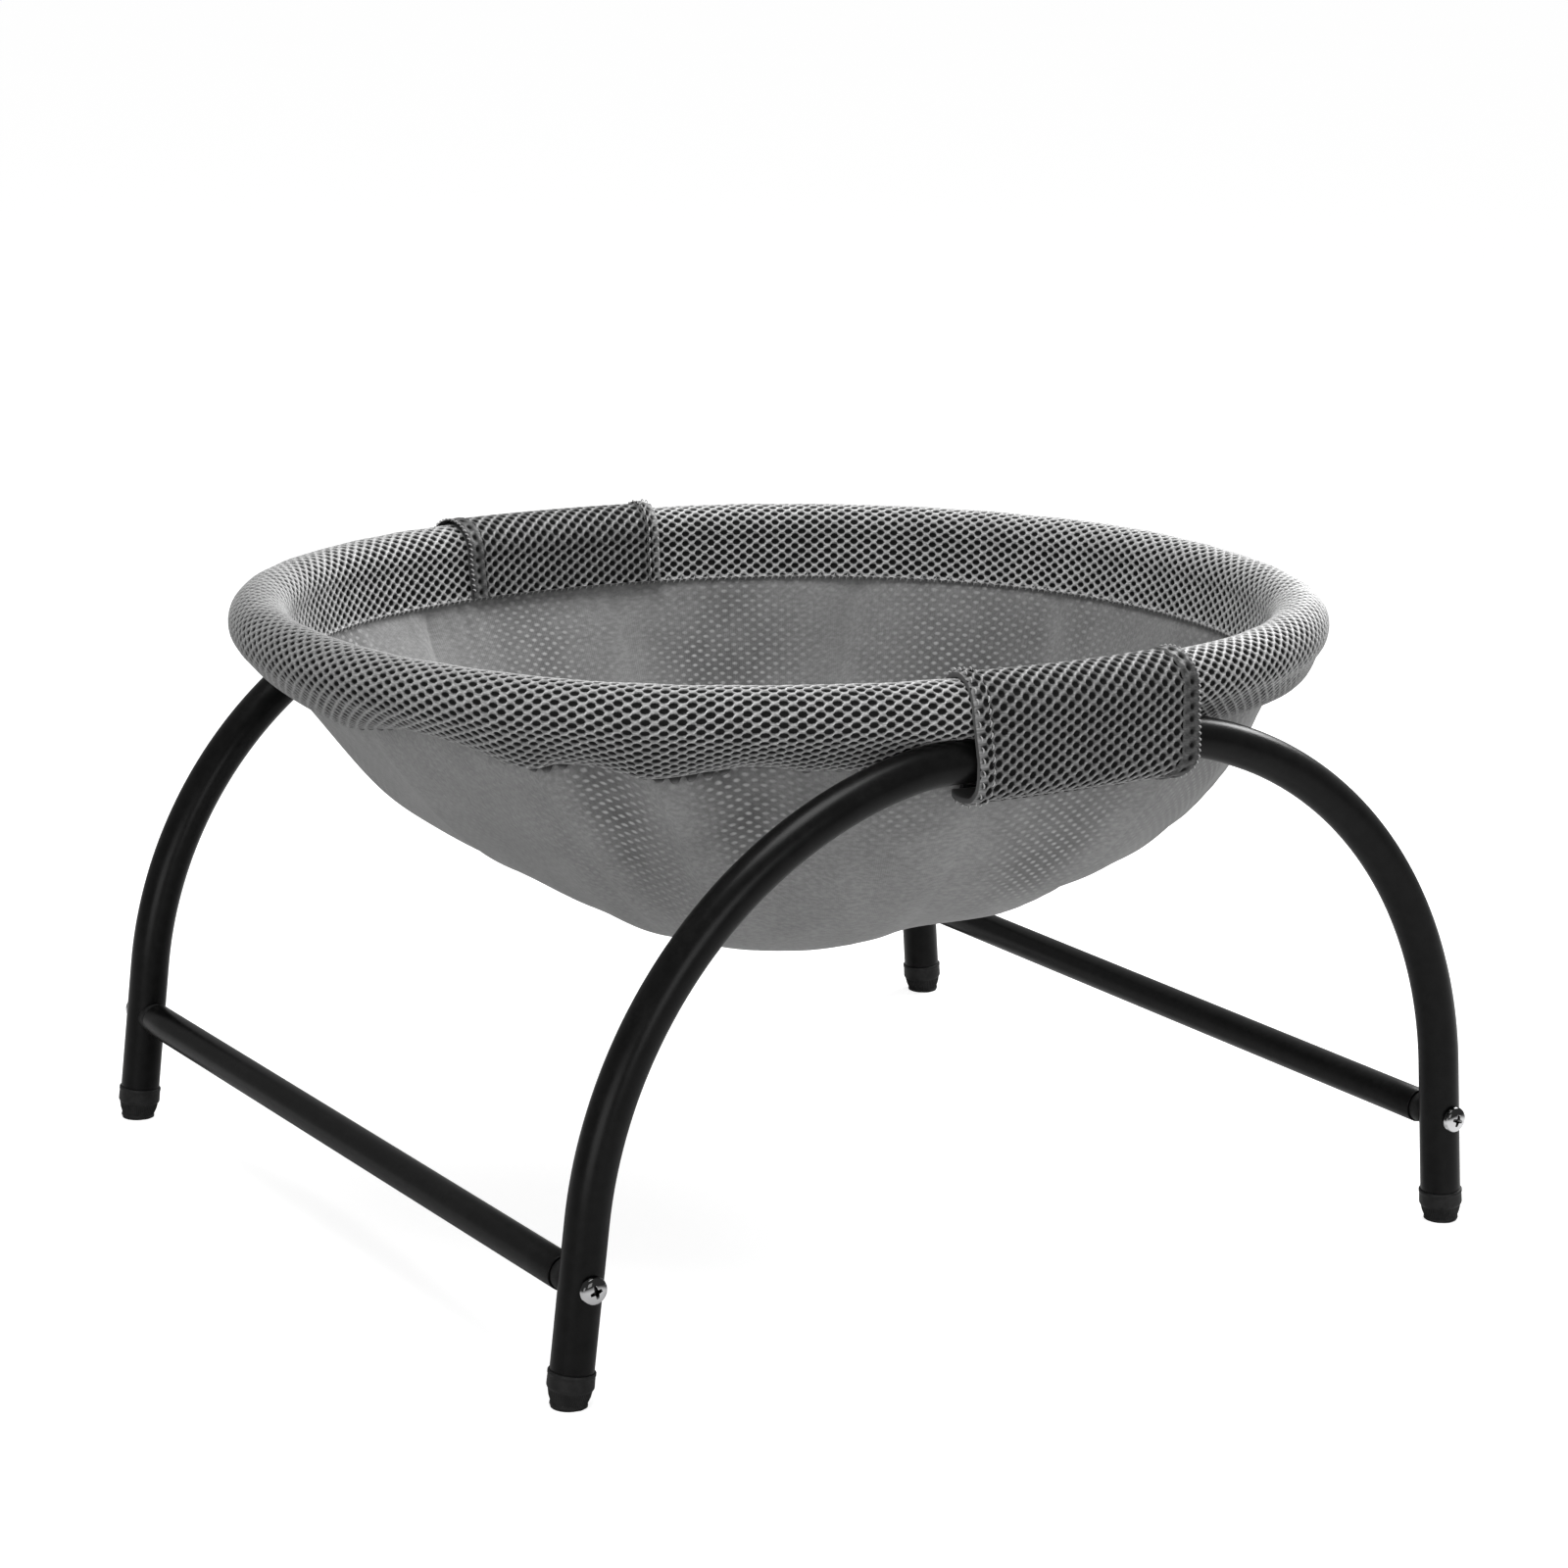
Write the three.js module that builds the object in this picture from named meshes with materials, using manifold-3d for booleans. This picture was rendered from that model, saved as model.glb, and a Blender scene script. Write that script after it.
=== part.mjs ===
// An oval cloth cot slung in a round rim on two bent tube arches.
// Millimetres, +Z up. The origin is on the floor under the middle of the frame,
// X runs along the arches and the front is towards -Y.

import * as THREE from 'three';
import { mergeVertices } from 'three/addons/utils/BufferGeometryUtils.js';
import Module from 'manifold-3d';

const wasm = await Module();
wasm.setup();

const { degToRad } = THREE.MathUtils;

// Fits shared by all pieces
const fitGap = 0.3;
const plugGap = 1;
const cutOverrun = 5;
const weldDistance = 0.001;

// Leg arches, bent from one tube each
const tubeDiameter = 19;
const tubeWall = 1.2;
const archSpacing = 437.8;
const archFootSpread = 480.6;
const archHeight = 255.5;
const shoulderRadius = 113.6;
const shoulderTurn = degToRad(13.9);
const bowRadius = 198.7;
const legSplay = degToRad(5.6);

// Crossbars and the threaded inserts in their ends
const crossbarDiameter = 16;
const crossbarWall = 1.2;
const crossbarHeight = 53.2;
const insertDepth = 16;
const insertCollarLength = 4;
const insertCollarDiameter = 14.6;

// Pan head screws through the legs
const screwDiameter = 6;
const screwReach = 14;
const screwHeadDiameter = 12.4;
const screwHeadHeight = 3.6;
const screwHeadShares = { rim: 0.4, crownWidth: 0.72, crownHeight: 0.85 };
const recessWidth = 5.6;
const recessSlot = 1.3;
const recessDepth = 2;

// Feet: plugs with a collar and a tapered tread
const footCollarDiameter = 20.4;
const footTreadDiameter = 15.6;
const footHeight = 16;
const footTaperHeight = 8;
const footLipHeight = 1.6;
const footStemLength = 14;
const footEdge = 0.8;

// Hoop inside the rim, in two halves: how far it lies above and inside the arches
const hoopTubeDiameter = 16;
const hoopWall = 1.2;
const hoopLength = 504;
const hoopInset = 3.4;
const hoopRise = 21.3;
const hoopSquareness = 2.14;
const joinerLength = 60;

// Knitted sleeve sewn round the hoop
const sleeveDiameter = 27.6;
const skirtThickness = 2.5;
const archPress = 1.5;
const pressedThickness = 1.7;
const skirtAngle = degToRad(-50);
const skirtLimitAngle = degToRad(-110);
const skirtAngleStep = degToRad(5);
const innerSkirtAngle = degToRad(190);

// Bowl cloth, sewn into the sleeve along its hem
const bowlThickness = 3;
const bowlHemInset = 13.2;
const bowlHemDrop = 28;
const bowlTuckWidth = 2.5;
const bowlTuckHeight = 8;
const innerHemDrop = 21.5;
const bowlDepth = 101.3;
const bowlRightOffset = 4.1;
const bowlFrontOffset = 11.4;
const bellyShares = { base: 5.9, sideways: 2.35, lengthways: 0.32, rounding: 1.11 };
const slackShares = { height: 4, rise: 1.5 };

// Slow waves of the loaded cloth, as shares of the bowl's depth
const swayShares = [
  { waves: 1, cosine: 0.062, sine: -0.045 },
  { waves: 2, cosine: 0.012, sine: -0.102 },
  { waves: 3, cosine: -0.063, sine: -0.033 },
  { waves: 4, cosine: -0.014, sine: -0.032 },
  { waves: 5, cosine: -0.01, sine: -0.017 },
];

// Main folds: where each one leaves the hem, how far it stands out and dips the hem
const foldDepth = 5;
const foldHemDip = 3;
const folds = [
  { angle: degToRad(-150), width: degToRad(6), depthShare: 0.7, dipShare: 1 },
  { angle: degToRad(-132), width: degToRad(6), depthShare: 1, dipShare: 1 },
  { angle: degToRad(-96), width: degToRad(8), depthShare: -0.6, dipShare: 0.3 },
  { angle: degToRad(-66), width: degToRad(6), depthShare: 1, dipShare: 0.4 },
  { angle: degToRad(-30), width: degToRad(9), depthShare: 0.7, dipShare: 0.8 },
  { angle: degToRad(6), width: degToRad(9), depthShare: -0.6, dipShare: 0.5 },
  { angle: degToRad(48), width: degToRad(7), depthShare: 0.8, dipShare: 0.8 },
  { angle: degToRad(114), width: degToRad(7), depthShare: 0.9, dipShare: 0.6 },
  { angle: degToRad(150), width: degToRad(8), depthShare: 0.7, dipShare: 1 },
  { angle: degToRad(-178), width: degToRad(9), depthShare: -0.5, dipShare: 0.5 },
];

// Wraps that hold the rim down on the arches
const wrapLeftReach = 51;
const wrapRightReach = 69;
const wrapThickness = 2.2;
const wrapHemWidth = 7;
const wrapHemRise = 0.9;
const wrapTopAngle = degToRad(188);
const wrapHingeAngle = degToRad(-25);
const flapLeaveAngle = degToRad(-58);

// Hook strip on each flap and loop strip on the bowl
const stripThickness = 1.2;
const stripSideInset = 4;
const stripShares = [0.978, 0.957];
const flapEndShares = [0.984, 0.951];

// How finely round and soft shapes are divided
const tubeSides = 12;
const boreSides = 8;
const archSteps = 36;
const rimStations = 60;
const sleeveArcs = 7;
const liningArcs = 5;
const roundSides = 16;
const wrapSpans = 6;
const wrapArcs = 5;
const joinerSteps = 4;
const rimDivisions = 720;
const bowlRingShares = [1, 0.95, 0.88, 0.78, 0.64, 0.46, 0.26];

// Sizes that follow from the ones above
const tubeRadius = tubeDiameter / 2;
const boreRadius = tubeRadius - tubeWall;
const hoopDepth = archSpacing - 2 * hoopInset;
const hoopHeight = archHeight + hoopRise;
const hoopTubeRadius = hoopTubeDiameter / 2;
const hoopBoreRadius = hoopTubeRadius - hoopWall;
const archPlane = archSpacing / 2;
const sleeveRadius = sleeveDiameter / 2;
const screwHoleRadius = screwDiameter / 2 + fitGap;
const bowTurn = Math.PI / 2 - legSplay - shoulderTurn;
const legLength = straightLegLength();
const archFlatLength = flatTopLength();

/** Length of the straight part of a leg, from the floor to the start of its bend. */
function straightLegLength() {
  const shoulderRise = shoulderRadius * (1 - Math.cos(shoulderTurn));
  const bowRise = bowRadius * (Math.cos(shoulderTurn) - Math.sin(legSplay));
  return (archHeight - shoulderRise - bowRise) / Math.cos(legSplay);
}

/** Length of the flat top of an arch, between its two shoulders. */
function flatTopLength() {
  const shoulderRun = shoulderRadius * Math.sin(shoulderTurn);
  const bowRun = bowRadius * (Math.cos(legSplay) - Math.sin(shoulderTurn));
  const legRun = legLength * Math.sin(legSplay);
  return archFootSpread - 2 * (shoulderRun + bowRun + legRun);
}

/** A path in the XZ plane made of straight runs and bends that follow one another. */
class BentPath extends THREE.Curve {
  constructor(start, heading, runs) {
    super();
    this.runs = [];
    this.length = 0;
    let point = start.clone();
    let angle = heading;
    for (const run of runs) {
      const placed = { ...run, point, angle, from: this.length };
      this.runs.push(placed);
      this.length += run.length;
      point = this.along(placed, run.length);
      angle -= run.turn;
    }
  }

  along(run, distance) {
    if (run.turn === 0) {
      const step = new THREE.Vector3(Math.cos(run.angle), 0, Math.sin(run.angle));
      return run.point.clone().addScaledVector(step, distance);
    }
    const radius = run.length / run.turn;
    const swept = run.angle - distance / radius;
    return new THREE.Vector3(
      run.point.x + radius * (Math.sin(run.angle) - Math.sin(swept)),
      run.point.y,
      run.point.z + radius * (Math.cos(swept) - Math.cos(run.angle)),
    );
  }

  getPoint(t, target = new THREE.Vector3()) {
    const distance = t * this.length;
    const run = this.runs.findLast((candidate) => candidate.from <= distance);
    return target.copy(this.along(run, distance - run.from));
  }
}

/** The closed line of the rim, or the stretch of it between two angles. */
class RimPath extends THREE.Curve {
  constructor(startAngle, endAngle) {
    super();
    this.startAngle = startAngle;
    this.endAngle = endAngle;
    this.arcLengthDivisions = rimDivisions;
  }

  getPoint(t, target = new THREE.Vector3()) {
    return target.copy(rimPoint(this.startAngle + (this.endAngle - this.startAngle) * t));
  }
}

/** Point of the hoop's centreline at an angle seen from above. */
function rimPoint(angle) {
  const across = Math.abs(Math.cos(angle) / (hoopLength / 2)) ** hoopSquareness;
  const along = Math.abs(Math.sin(angle) / (hoopDepth / 2)) ** hoopSquareness;
  const reach = (across + along) ** (-1 / hoopSquareness);
  return new THREE.Vector3(reach * Math.cos(angle), reach * Math.sin(angle), hoopHeight);
}

/** Level direction that points straight out of the rim at one of its points. */
function rimOutward(point) {
  const power = hoopSquareness - 1;
  const slopeX = Math.sign(point.x) * Math.abs(point.x) ** power / (hoopLength / 2) ** hoopSquareness;
  const slopeY = Math.sign(point.y) * Math.abs(point.y) ** power / (hoopDepth / 2) ** hoopSquareness;
  return new THREE.Vector3(slopeX, slopeY, 0).normalize();
}

/** A place on the rim: its point, its outward direction and its angle. */
function rimStation(point) {
  return { point, outward: rimOutward(point), angle: Math.atan2(point.y, point.x) };
}

/** Point beside a rim station, so far outward and so far up from the hoop's centre. */
function besideRim(station, outward, up) {
  const point = station.point.clone().addScaledVector(station.outward, outward);
  point.z += up;
  return point;
}

/** Centreline of a leg arch, from one tube end to the other. */
function archPath(plane) {
  const start = new THREE.Vector3(
    footHeight * Math.sin(legSplay) - archFootSpread / 2,
    plane,
    footHeight * Math.cos(legSplay),
  );
  const leg = { length: legLength - footHeight, turn: 0 };
  const bow = { length: bowRadius * bowTurn, turn: bowTurn };
  const shoulder = { length: shoulderRadius * shoulderTurn, turn: shoulderTurn };
  const top = { length: archFlatLength, turn: 0 };
  return new BentPath(start, Math.PI / 2 - legSplay, [leg, bow, shoulder, top, shoulder, bow, leg]);
}

const archLines = [-archPlane, archPlane].map((plane) => {
  const points = archPath(plane).getSpacedPoints(archSteps);
  return points.slice(1).map((point, index) => new THREE.Line3(points[index], point));
});

/** Nearest point of an arch's centreline. */
function nearestOnArch(point) {
  const lines = archLines[point.y < 0 ? 0 : 1];
  let best = null;
  for (const line of lines) {
    const candidate = line.closestPointToPoint(point, true, new THREE.Vector3());
    if (!best || candidate.distanceTo(point) < best.distanceTo(point)) best = candidate;
  }
  return best;
}

/** The point itself, or where an arch that it would enter pushes it to. */
function pressedOff(point, clearance) {
  const centre = nearestOnArch(point);
  const away = point.clone().sub(centre);
  const least = tubeRadius + clearance;
  if (away.length() >= least) return point;
  return centre.addScaledVector(away.normalize(), least);
}

/** Corners of a regular outline. */
function ringOutline(radius, sides) {
  const corners = [];
  for (let side = 0; side < sides; side += 1) {
    const angle = (2 * Math.PI * side) / sides;
    corners.push(new THREE.Vector2(radius * Math.cos(angle), radius * Math.sin(angle)));
  }
  return corners;
}

/** Section of a round tube. */
function tubeSection(outerRadius, innerRadius) {
  const section = new THREE.Shape(ringOutline(outerRadius, tubeSides));
  section.holes.push(new THREE.Path(ringOutline(innerRadius, boreSides)));
  return section;
}

/** Plain geometry from a list of triangles' corner points. */
function facetedGeometry(corners) {
  const geometry = new THREE.BufferGeometry();
  const values = corners.flatMap((corner) => [corner.x, corner.y, corner.z]);
  geometry.setAttribute('position', new THREE.Float32BufferAttribute(values, 3));
  geometry.computeVertexNormals();
  return geometry;
}

/** Adds the two triangles of a four-cornered patch, leaving out any with no area. */
function addPatch(corners, a, b, c, d) {
  for (const [p, q, r] of [[a, b, c], [a, c, d]]) {
    if (p.equals(q) || q.equals(r) || r.equals(p)) continue;
    corners.push(p, q, r);
  }
}

/** Cloth between an outer and an inner grid of points, whose columns may join in a loop. */
function clothGeometry(face, back, loop) {
  const corners = [];
  const spans = loop ? face.length : face.length - 1;
  const last = face[0].length - 1;
  for (let i = 0; i < spans; i += 1) {
    const k = (i + 1) % face.length;
    for (let j = 0; j < last; j += 1) {
      addPatch(corners, face[i][j], face[i][j + 1], face[k][j + 1], face[k][j]);
      addPatch(corners, back[i][j], back[k][j], back[k][j + 1], back[i][j + 1]);
    }
    addPatch(corners, face[i][0], face[k][0], back[k][0], back[i][0]);
    addPatch(corners, face[i][last], back[i][last], back[k][last], face[k][last]);
  }
  if (!loop) {
    for (let j = 0; j < last; j += 1) {
      addPatch(corners, face[0][j], back[0][j], back[0][j + 1], face[0][j + 1]);
      addPatch(corners, face[spans][j], face[spans][j + 1], back[spans][j + 1], back[spans][j]);
    }
  }
  return facetedGeometry(corners);
}

/** Closed tube of cloth through a loop of closed outlines. */
function loopGeometry(outlines) {
  const corners = [];
  outlines.forEach((outline, i) => {
    const next = outlines[(i + 1) % outlines.length];
    outline.forEach((point, j) => {
      const k = (j + 1) % outline.length;
      addPatch(corners, point, next[j], next[k], outline[k]);
    });
  });
  return facetedGeometry(corners);
}

/** A closed geometry as a solid that can be joined and cut. */
function toSolid(geometry) {
  const bare = geometry.clone();
  bare.deleteAttribute('normal');
  bare.deleteAttribute('uv');
  const merged = mergeVertices(bare, weldDistance);
  const mesh = new wasm.Mesh({
    numProp: 3,
    vertProperties: Float32Array.from(merged.attributes.position.array),
    triVerts: Uint32Array.from(merged.index.array),
  });
  return new wasm.Manifold(mesh);
}

/** A geometry with the given cutters taken out of it. */
function cutBy(geometry, cutters) {
  let solid = toSolid(geometry);
  for (const cutter of cutters) solid = solid.subtract(toSolid(cutter));
  const mesh = solid.getMesh();
  const result = new THREE.BufferGeometry();
  result.setAttribute('position', new THREE.Float32BufferAttribute(mesh.vertProperties, 3));
  result.setIndex(new THREE.Uint32BufferAttribute(mesh.triVerts, 1));
  result.computeVertexNormals();
  return result;
}

/** Geometry turned round from a profile of [radius, height] pairs, from axis to axis. */
function turned(profile, sides) {
  const points = profile.map(([radius, height]) => new THREE.Vector2(radius, height));
  return new THREE.LatheGeometry(points, sides).rotateX(Math.PI / 2);
}

/** Black powder coated steel. */
function powderCoat() {
  return new THREE.MeshStandardMaterial({ color: 0x1b1b1c, roughness: 0.42, metalness: 0.1 });
}

/** Bright plated steel. */
function chrome() {
  return new THREE.MeshStandardMaterial({ color: 0xd6d7d9, roughness: 0.14, metalness: 1 });
}

/** Black moulded plastic. */
function blackPlastic() {
  return new THREE.MeshStandardMaterial({ color: 0x18181a, roughness: 0.6, metalness: 0 });
}

/** Grey knitted spacer mesh. */
function spacerMesh() {
  return new THREE.MeshStandardMaterial({ color: 0x77787b, roughness: 0.92, metalness: 0 });
}

/** Lighter grey cloth with a fine raised weave. */
function bowlCloth() {
  return new THREE.MeshStandardMaterial({ color: 0x87888b, roughness: 0.9, metalness: 0 });
}

/** Black hook and loop tape. */
function fasteningTape() {
  return new THREE.MeshStandardMaterial({ color: 0x202124, roughness: 0.95, metalness: 0 });
}

/** A named mesh. */
function piece(name, geometry, material) {
  const mesh = new THREE.Mesh(geometry, material);
  mesh.name = name;
  return mesh;
}

/** Where a crossbar meets the legs: its distance from the middle of the frame. */
function crossbarReach() {
  return archFootSpread / 2 - crossbarHeight * Math.tan(legSplay);
}

/** The two arches, drilled crosswise for the screws. */
function arch(name, plane) {
  const tube = new THREE.ExtrudeGeometry(tubeSection(tubeRadius, boreRadius), {
    steps: archSteps,
    bevelEnabled: false,
    extrudePath: archPath(plane),
  });
  const drillLength = tubeDiameter + 2 * cutOverrun;
  const drills = [-1, 1].map((side) => {
    const drill = new THREE.CylinderGeometry(screwHoleRadius, screwHoleRadius, drillLength, boreSides);
    return drill.translate(side * crossbarReach(), plane, crossbarHeight);
  });
  return piece(name, cutBy(tube, drills), powderCoat());
}

/** A straight tube from front to rear, just short of the collars of its inserts. */
function crossbar(name, side) {
  const length = 2 * (archPlane - tubeRadius - insertCollarLength - fitGap);
  const bore = crossbarDiameter / 2 - crossbarWall;
  const bar = new THREE.ExtrudeGeometry(tubeSection(crossbarDiameter / 2, bore), {
    depth: length,
    bevelEnabled: false,
  });
  bar.translate(0, 0, -length / 2).rotateX(Math.PI / 2);
  const mesh = piece(name, bar, powderCoat());
  mesh.position.set(side * crossbarReach(), 0, crossbarHeight);
  return mesh;
}

/** A leg's tube as a cutter, with the fit gap all round. */
function legCutter(side, end) {
  const radius = tubeRadius + fitGap;
  const length = 2 * crossbarDiameter + 2 * cutOverrun;
  const cutter = new THREE.CylinderGeometry(radius, radius, length, roundSides).rotateX(Math.PI / 2);
  cutter.rotateY(-side * legSplay);
  return cutter.translate(0, end * tubeRadius, 0);
}

/** Threaded insert in a crossbar end, with a collar saddled to the leg. */
function crossbarInsert(name, side, end) {
  const bodyRadius = crossbarDiameter / 2 - crossbarWall - plugGap;
  const collarRadius = insertCollarDiameter / 2;
  const sleeve = turned([
    [screwHoleRadius, -insertCollarLength - insertDepth],
    [bodyRadius, -insertCollarLength - insertDepth],
    [bodyRadius, -insertCollarLength],
    [collarRadius, -insertCollarLength],
    [collarRadius, tubeRadius - cutOverrun],
    [screwHoleRadius, tubeRadius - cutOverrun],
    [screwHoleRadius, -insertCollarLength - insertDepth],
  ], roundSides);
  sleeve.rotateX(-end * Math.PI / 2);
  const mesh = piece(name, cutBy(sleeve, [legCutter(side, end)]), blackPlastic());
  mesh.position.set(side * crossbarReach(), end * (archPlane - tubeRadius), crossbarHeight);
  return mesh;
}

/** Pan head screw with a cross recess, through a leg and into the insert. */
function frameScrew(name, side, end) {
  const shankRadius = screwDiameter / 2;
  const headRadius = screwHeadDiameter / 2;
  const shankLength = fitGap + tubeDiameter + insertCollarLength + screwReach;
  const body = turned([
    [0, -shankLength],
    [shankRadius, -shankLength],
    [shankRadius, 0],
    [headRadius, 0],
    [headRadius, screwHeadHeight * screwHeadShares.rim],
    [headRadius * screwHeadShares.crownWidth, screwHeadHeight * screwHeadShares.crownHeight],
    [0, screwHeadHeight],
  ], roundSides);
  const recess = [[recessWidth, recessSlot], [recessSlot, recessWidth]].map(([wide, tall]) => {
    const blade = new THREE.BoxGeometry(wide, tall, recessDepth + cutOverrun);
    return blade.translate(0, 0, screwHeadHeight - recessDepth + (recessDepth + cutOverrun) / 2);
  });
  const screw = cutBy(body, recess).rotateX(-end * Math.PI / 2);
  const mesh = piece(name, screw, chrome());
  mesh.position.set(side * crossbarReach(), end * (archPlane + tubeRadius + fitGap), crossbarHeight);
  return mesh;
}

/** Foot plug in a leg's end, cut level where it stands on the floor. */
function foot(name, side, end) {
  const treadRadius = footTreadDiameter / 2;
  const collarRadius = footCollarDiameter / 2;
  const top = footHeight - fitGap;
  const sink = footCollarDiameter * Math.sin(legSplay);
  const stemRadius = boreRadius - plugGap;
  const body = turned([
    [0, -sink],
    [treadRadius, -sink],
    [treadRadius, footLipHeight],
    [treadRadius + footEdge, footLipHeight + footEdge],
    [collarRadius - footEdge, footTaperHeight],
    [collarRadius, footTaperHeight + footEdge],
    [collarRadius, top],
    [stemRadius, top],
    [stemRadius, top + footStemLength],
    [0, top + footStemLength],
  ], roundSides);
  body.rotateY(-side * legSplay);
  const floorBlock = new THREE.BoxGeometry(archSpacing, archSpacing, 2 * sink + 2 * cutOverrun);
  floorBlock.translate(0, 0, -sink - cutOverrun);
  const mesh = piece(name, cutBy(body, [floorBlock]), blackPlastic());
  mesh.position.set(side * archFootSpread / 2, end * archPlane, 0);
  return mesh;
}

/** One half of the hoop, its ends just clear of the other half's. */
function halfHoop(name, startAngle) {
  const trim = fitGap / hoopLength;
  const path = new RimPath(startAngle + trim, startAngle + Math.PI - trim);
  const tube = new THREE.ExtrudeGeometry(tubeSection(hoopTubeRadius, hoopBoreRadius), {
    steps: rimStations / 2,
    bevelEnabled: false,
    extrudePath: path,
  });
  return piece(name, tube, powderCoat());
}

/** Plug that lines up the two halves of the hoop at one end. */
function hoopJoiner(name, angle) {
  const sweep = joinerLength / hoopLength;
  const path = new RimPath(angle - sweep, angle + sweep);
  const plug = new THREE.Shape(ringOutline(hoopBoreRadius - plugGap, boreSides));
  const rod = new THREE.ExtrudeGeometry(plug, {
    steps: joinerSteps,
    bevelEnabled: false,
    extrudePath: path,
  });
  return piece(name, rod, blackPlastic());
}

/** How strongly each fold is felt at an angle, as a weighted sum of its shares. */
function foldWeight(angle, key) {
  let weight = 0;
  for (const fold of folds) {
    const away = Math.atan2(Math.sin(angle - fold.angle), Math.cos(angle - fold.angle));
    weight += fold[key] * Math.exp(-((away / fold.width) ** 2));
  }
  return weight;
}

/** Outer surface of the bowl: share 1 is at the hem and share 0 at its deepest point. */
function bowlPoint(station, share) {
  const dip = foldHemDip * foldWeight(station.angle, 'dipShare');
  const hem = besideRim(station, -bowlHemInset, -bowlHemDrop - dip);
  const belly = bellyShares.base
    + bellyShares.sideways * Math.cos(station.angle)
    + bellyShares.lengthways * Math.sin(station.angle);
  const slack = slackShares.height * share ** slackShares.rise * (1 - share);
  let sway = 0;
  for (const wave of swayShares) {
    sway += wave.cosine * Math.cos(wave.waves * station.angle);
    sway += wave.sine * Math.sin(wave.waves * station.angle);
  }
  const drop = bowlDepth * (1 - share ** belly) ** bellyShares.rounding;
  const fold = foldDepth * foldWeight(station.angle, 'depthShare');
  const bottom = hoopHeight - bowlHemDrop;
  return new THREE.Vector3(
    hem.x * share + bowlRightOffset * (1 - share ** 2),
    hem.y * share - bowlFrontOffset * (1 - share ** 2),
    bottom - dip * share ** belly - drop + slack * (sway * bowlDepth - fold),
  );
}

/** The sleeve's and bowl's stations, evenly spaced along the rim from its right end. */
function rimStationList() {
  const path = new RimPath(0, 2 * Math.PI);
  const points = path.getSpacedPoints(rimStations).slice(0, rimStations);
  return points.map(rimStation);
}

/** Outward normal of a grid of points whose columns run round in a loop or side by side. */
function gridNormal(grid, i, j, loop) {
  const count = grid.length;
  const before = grid[loop ? (i + count - 1) % count : Math.max(i - 1, 0)][j];
  const after = grid[loop ? (i + 1) % count : Math.min(i + 1, count - 1)][j];
  const column = grid[i];
  const above = column[Math.max(j - 1, 0)];
  const below = column[Math.min(j + 1, column.length - 1)];
  const round = after.clone().sub(before);
  const down = below.clone().sub(above);
  return down.cross(round).normalize();
}

/** A grid moved off itself along its normals. */
function offsetGrid(grid, distance, loop) {
  return grid.map((column, i) => column.map((point, j) => {
    const normal = gridNormal(grid, i, j, loop);
    return point.clone().addScaledVector(normal, distance);
  }));
}

/** Outer face of the bowl cloth at a station, from its tucked edge to its middle. */
function bowlColumn(station) {
  const tuck = besideRim(
    station,
    -bowlHemInset + bowlTuckWidth,
    -bowlHemDrop + bowlTuckHeight,
  );
  const face = bowlRingShares.map((share) => bowlPoint(station, share));
  const clearance = archPress + pressedThickness + fitGap;
  return [tuck, ...face].map((point) => pressedOff(point, clearance));
}

/** Bowl cloth with its main folds. */
function bowl(stations) {
  const face = stations.map(bowlColumn);
  const back = offsetGrid(face, -bowlThickness, true);
  const centre = bowlPoint(stations[0], 0);
  const lifted = centre.clone();
  lifted.z += bowlThickness;
  for (const column of face) column.push(centre);
  for (const column of back) column.push(lifted);
  return piece('bowl_fabric', clothGeometry(face, back, true), bowlCloth());
}

/** Point on a circle round the hoop at a station. */
function aroundHoop(station, radius, angle) {
  return besideRim(station, radius * Math.cos(angle), radius * Math.sin(angle));
}

/** Least distance between an arch's centreline and a straight piece of cloth. */
function distanceToArch(from, to) {
  let least = Infinity;
  for (let step = 0; step <= wrapSpans; step += 1) {
    const point = from.clone().lerp(to, step / wrapSpans);
    least = Math.min(least, nearestOnArch(point).distanceTo(point));
  }
  return least;
}

/** Where the outer skirt leaves the rim: further round where an arch stands in its way. */
function skirtLeaveAngle(station) {
  const hem = outerHem(station);
  let angle = skirtAngle;
  while (angle > skirtLimitAngle) {
    const leave = aroundHoop(station, sleeveRadius, angle);
    if (distanceToArch(hem, leave) >= tubeRadius + fitGap) return angle;
    angle -= skirtAngleStep;
  }
  return skirtLimitAngle;
}

/** Lowest outside point of the sleeve, where it is sewn to the bowl. */
function outerHem(station) {
  const seam = bowlPoint(station, 1);
  return seam.addScaledVector(station.outward, fitGap + skirtThickness);
}

/** Lowest inside point of the sleeve, against the inner face of the bowl's tucked edge. */
function innerSeam(station) {
  const slope = bowlTuckWidth / bowlTuckHeight;
  const inset = bowlHemInset - (bowlHemDrop - innerHemDrop) * slope;
  return besideRim(station, -inset - bowlThickness * Math.hypot(1, slope) - fitGap, -innerHemDrop);
}

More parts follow.
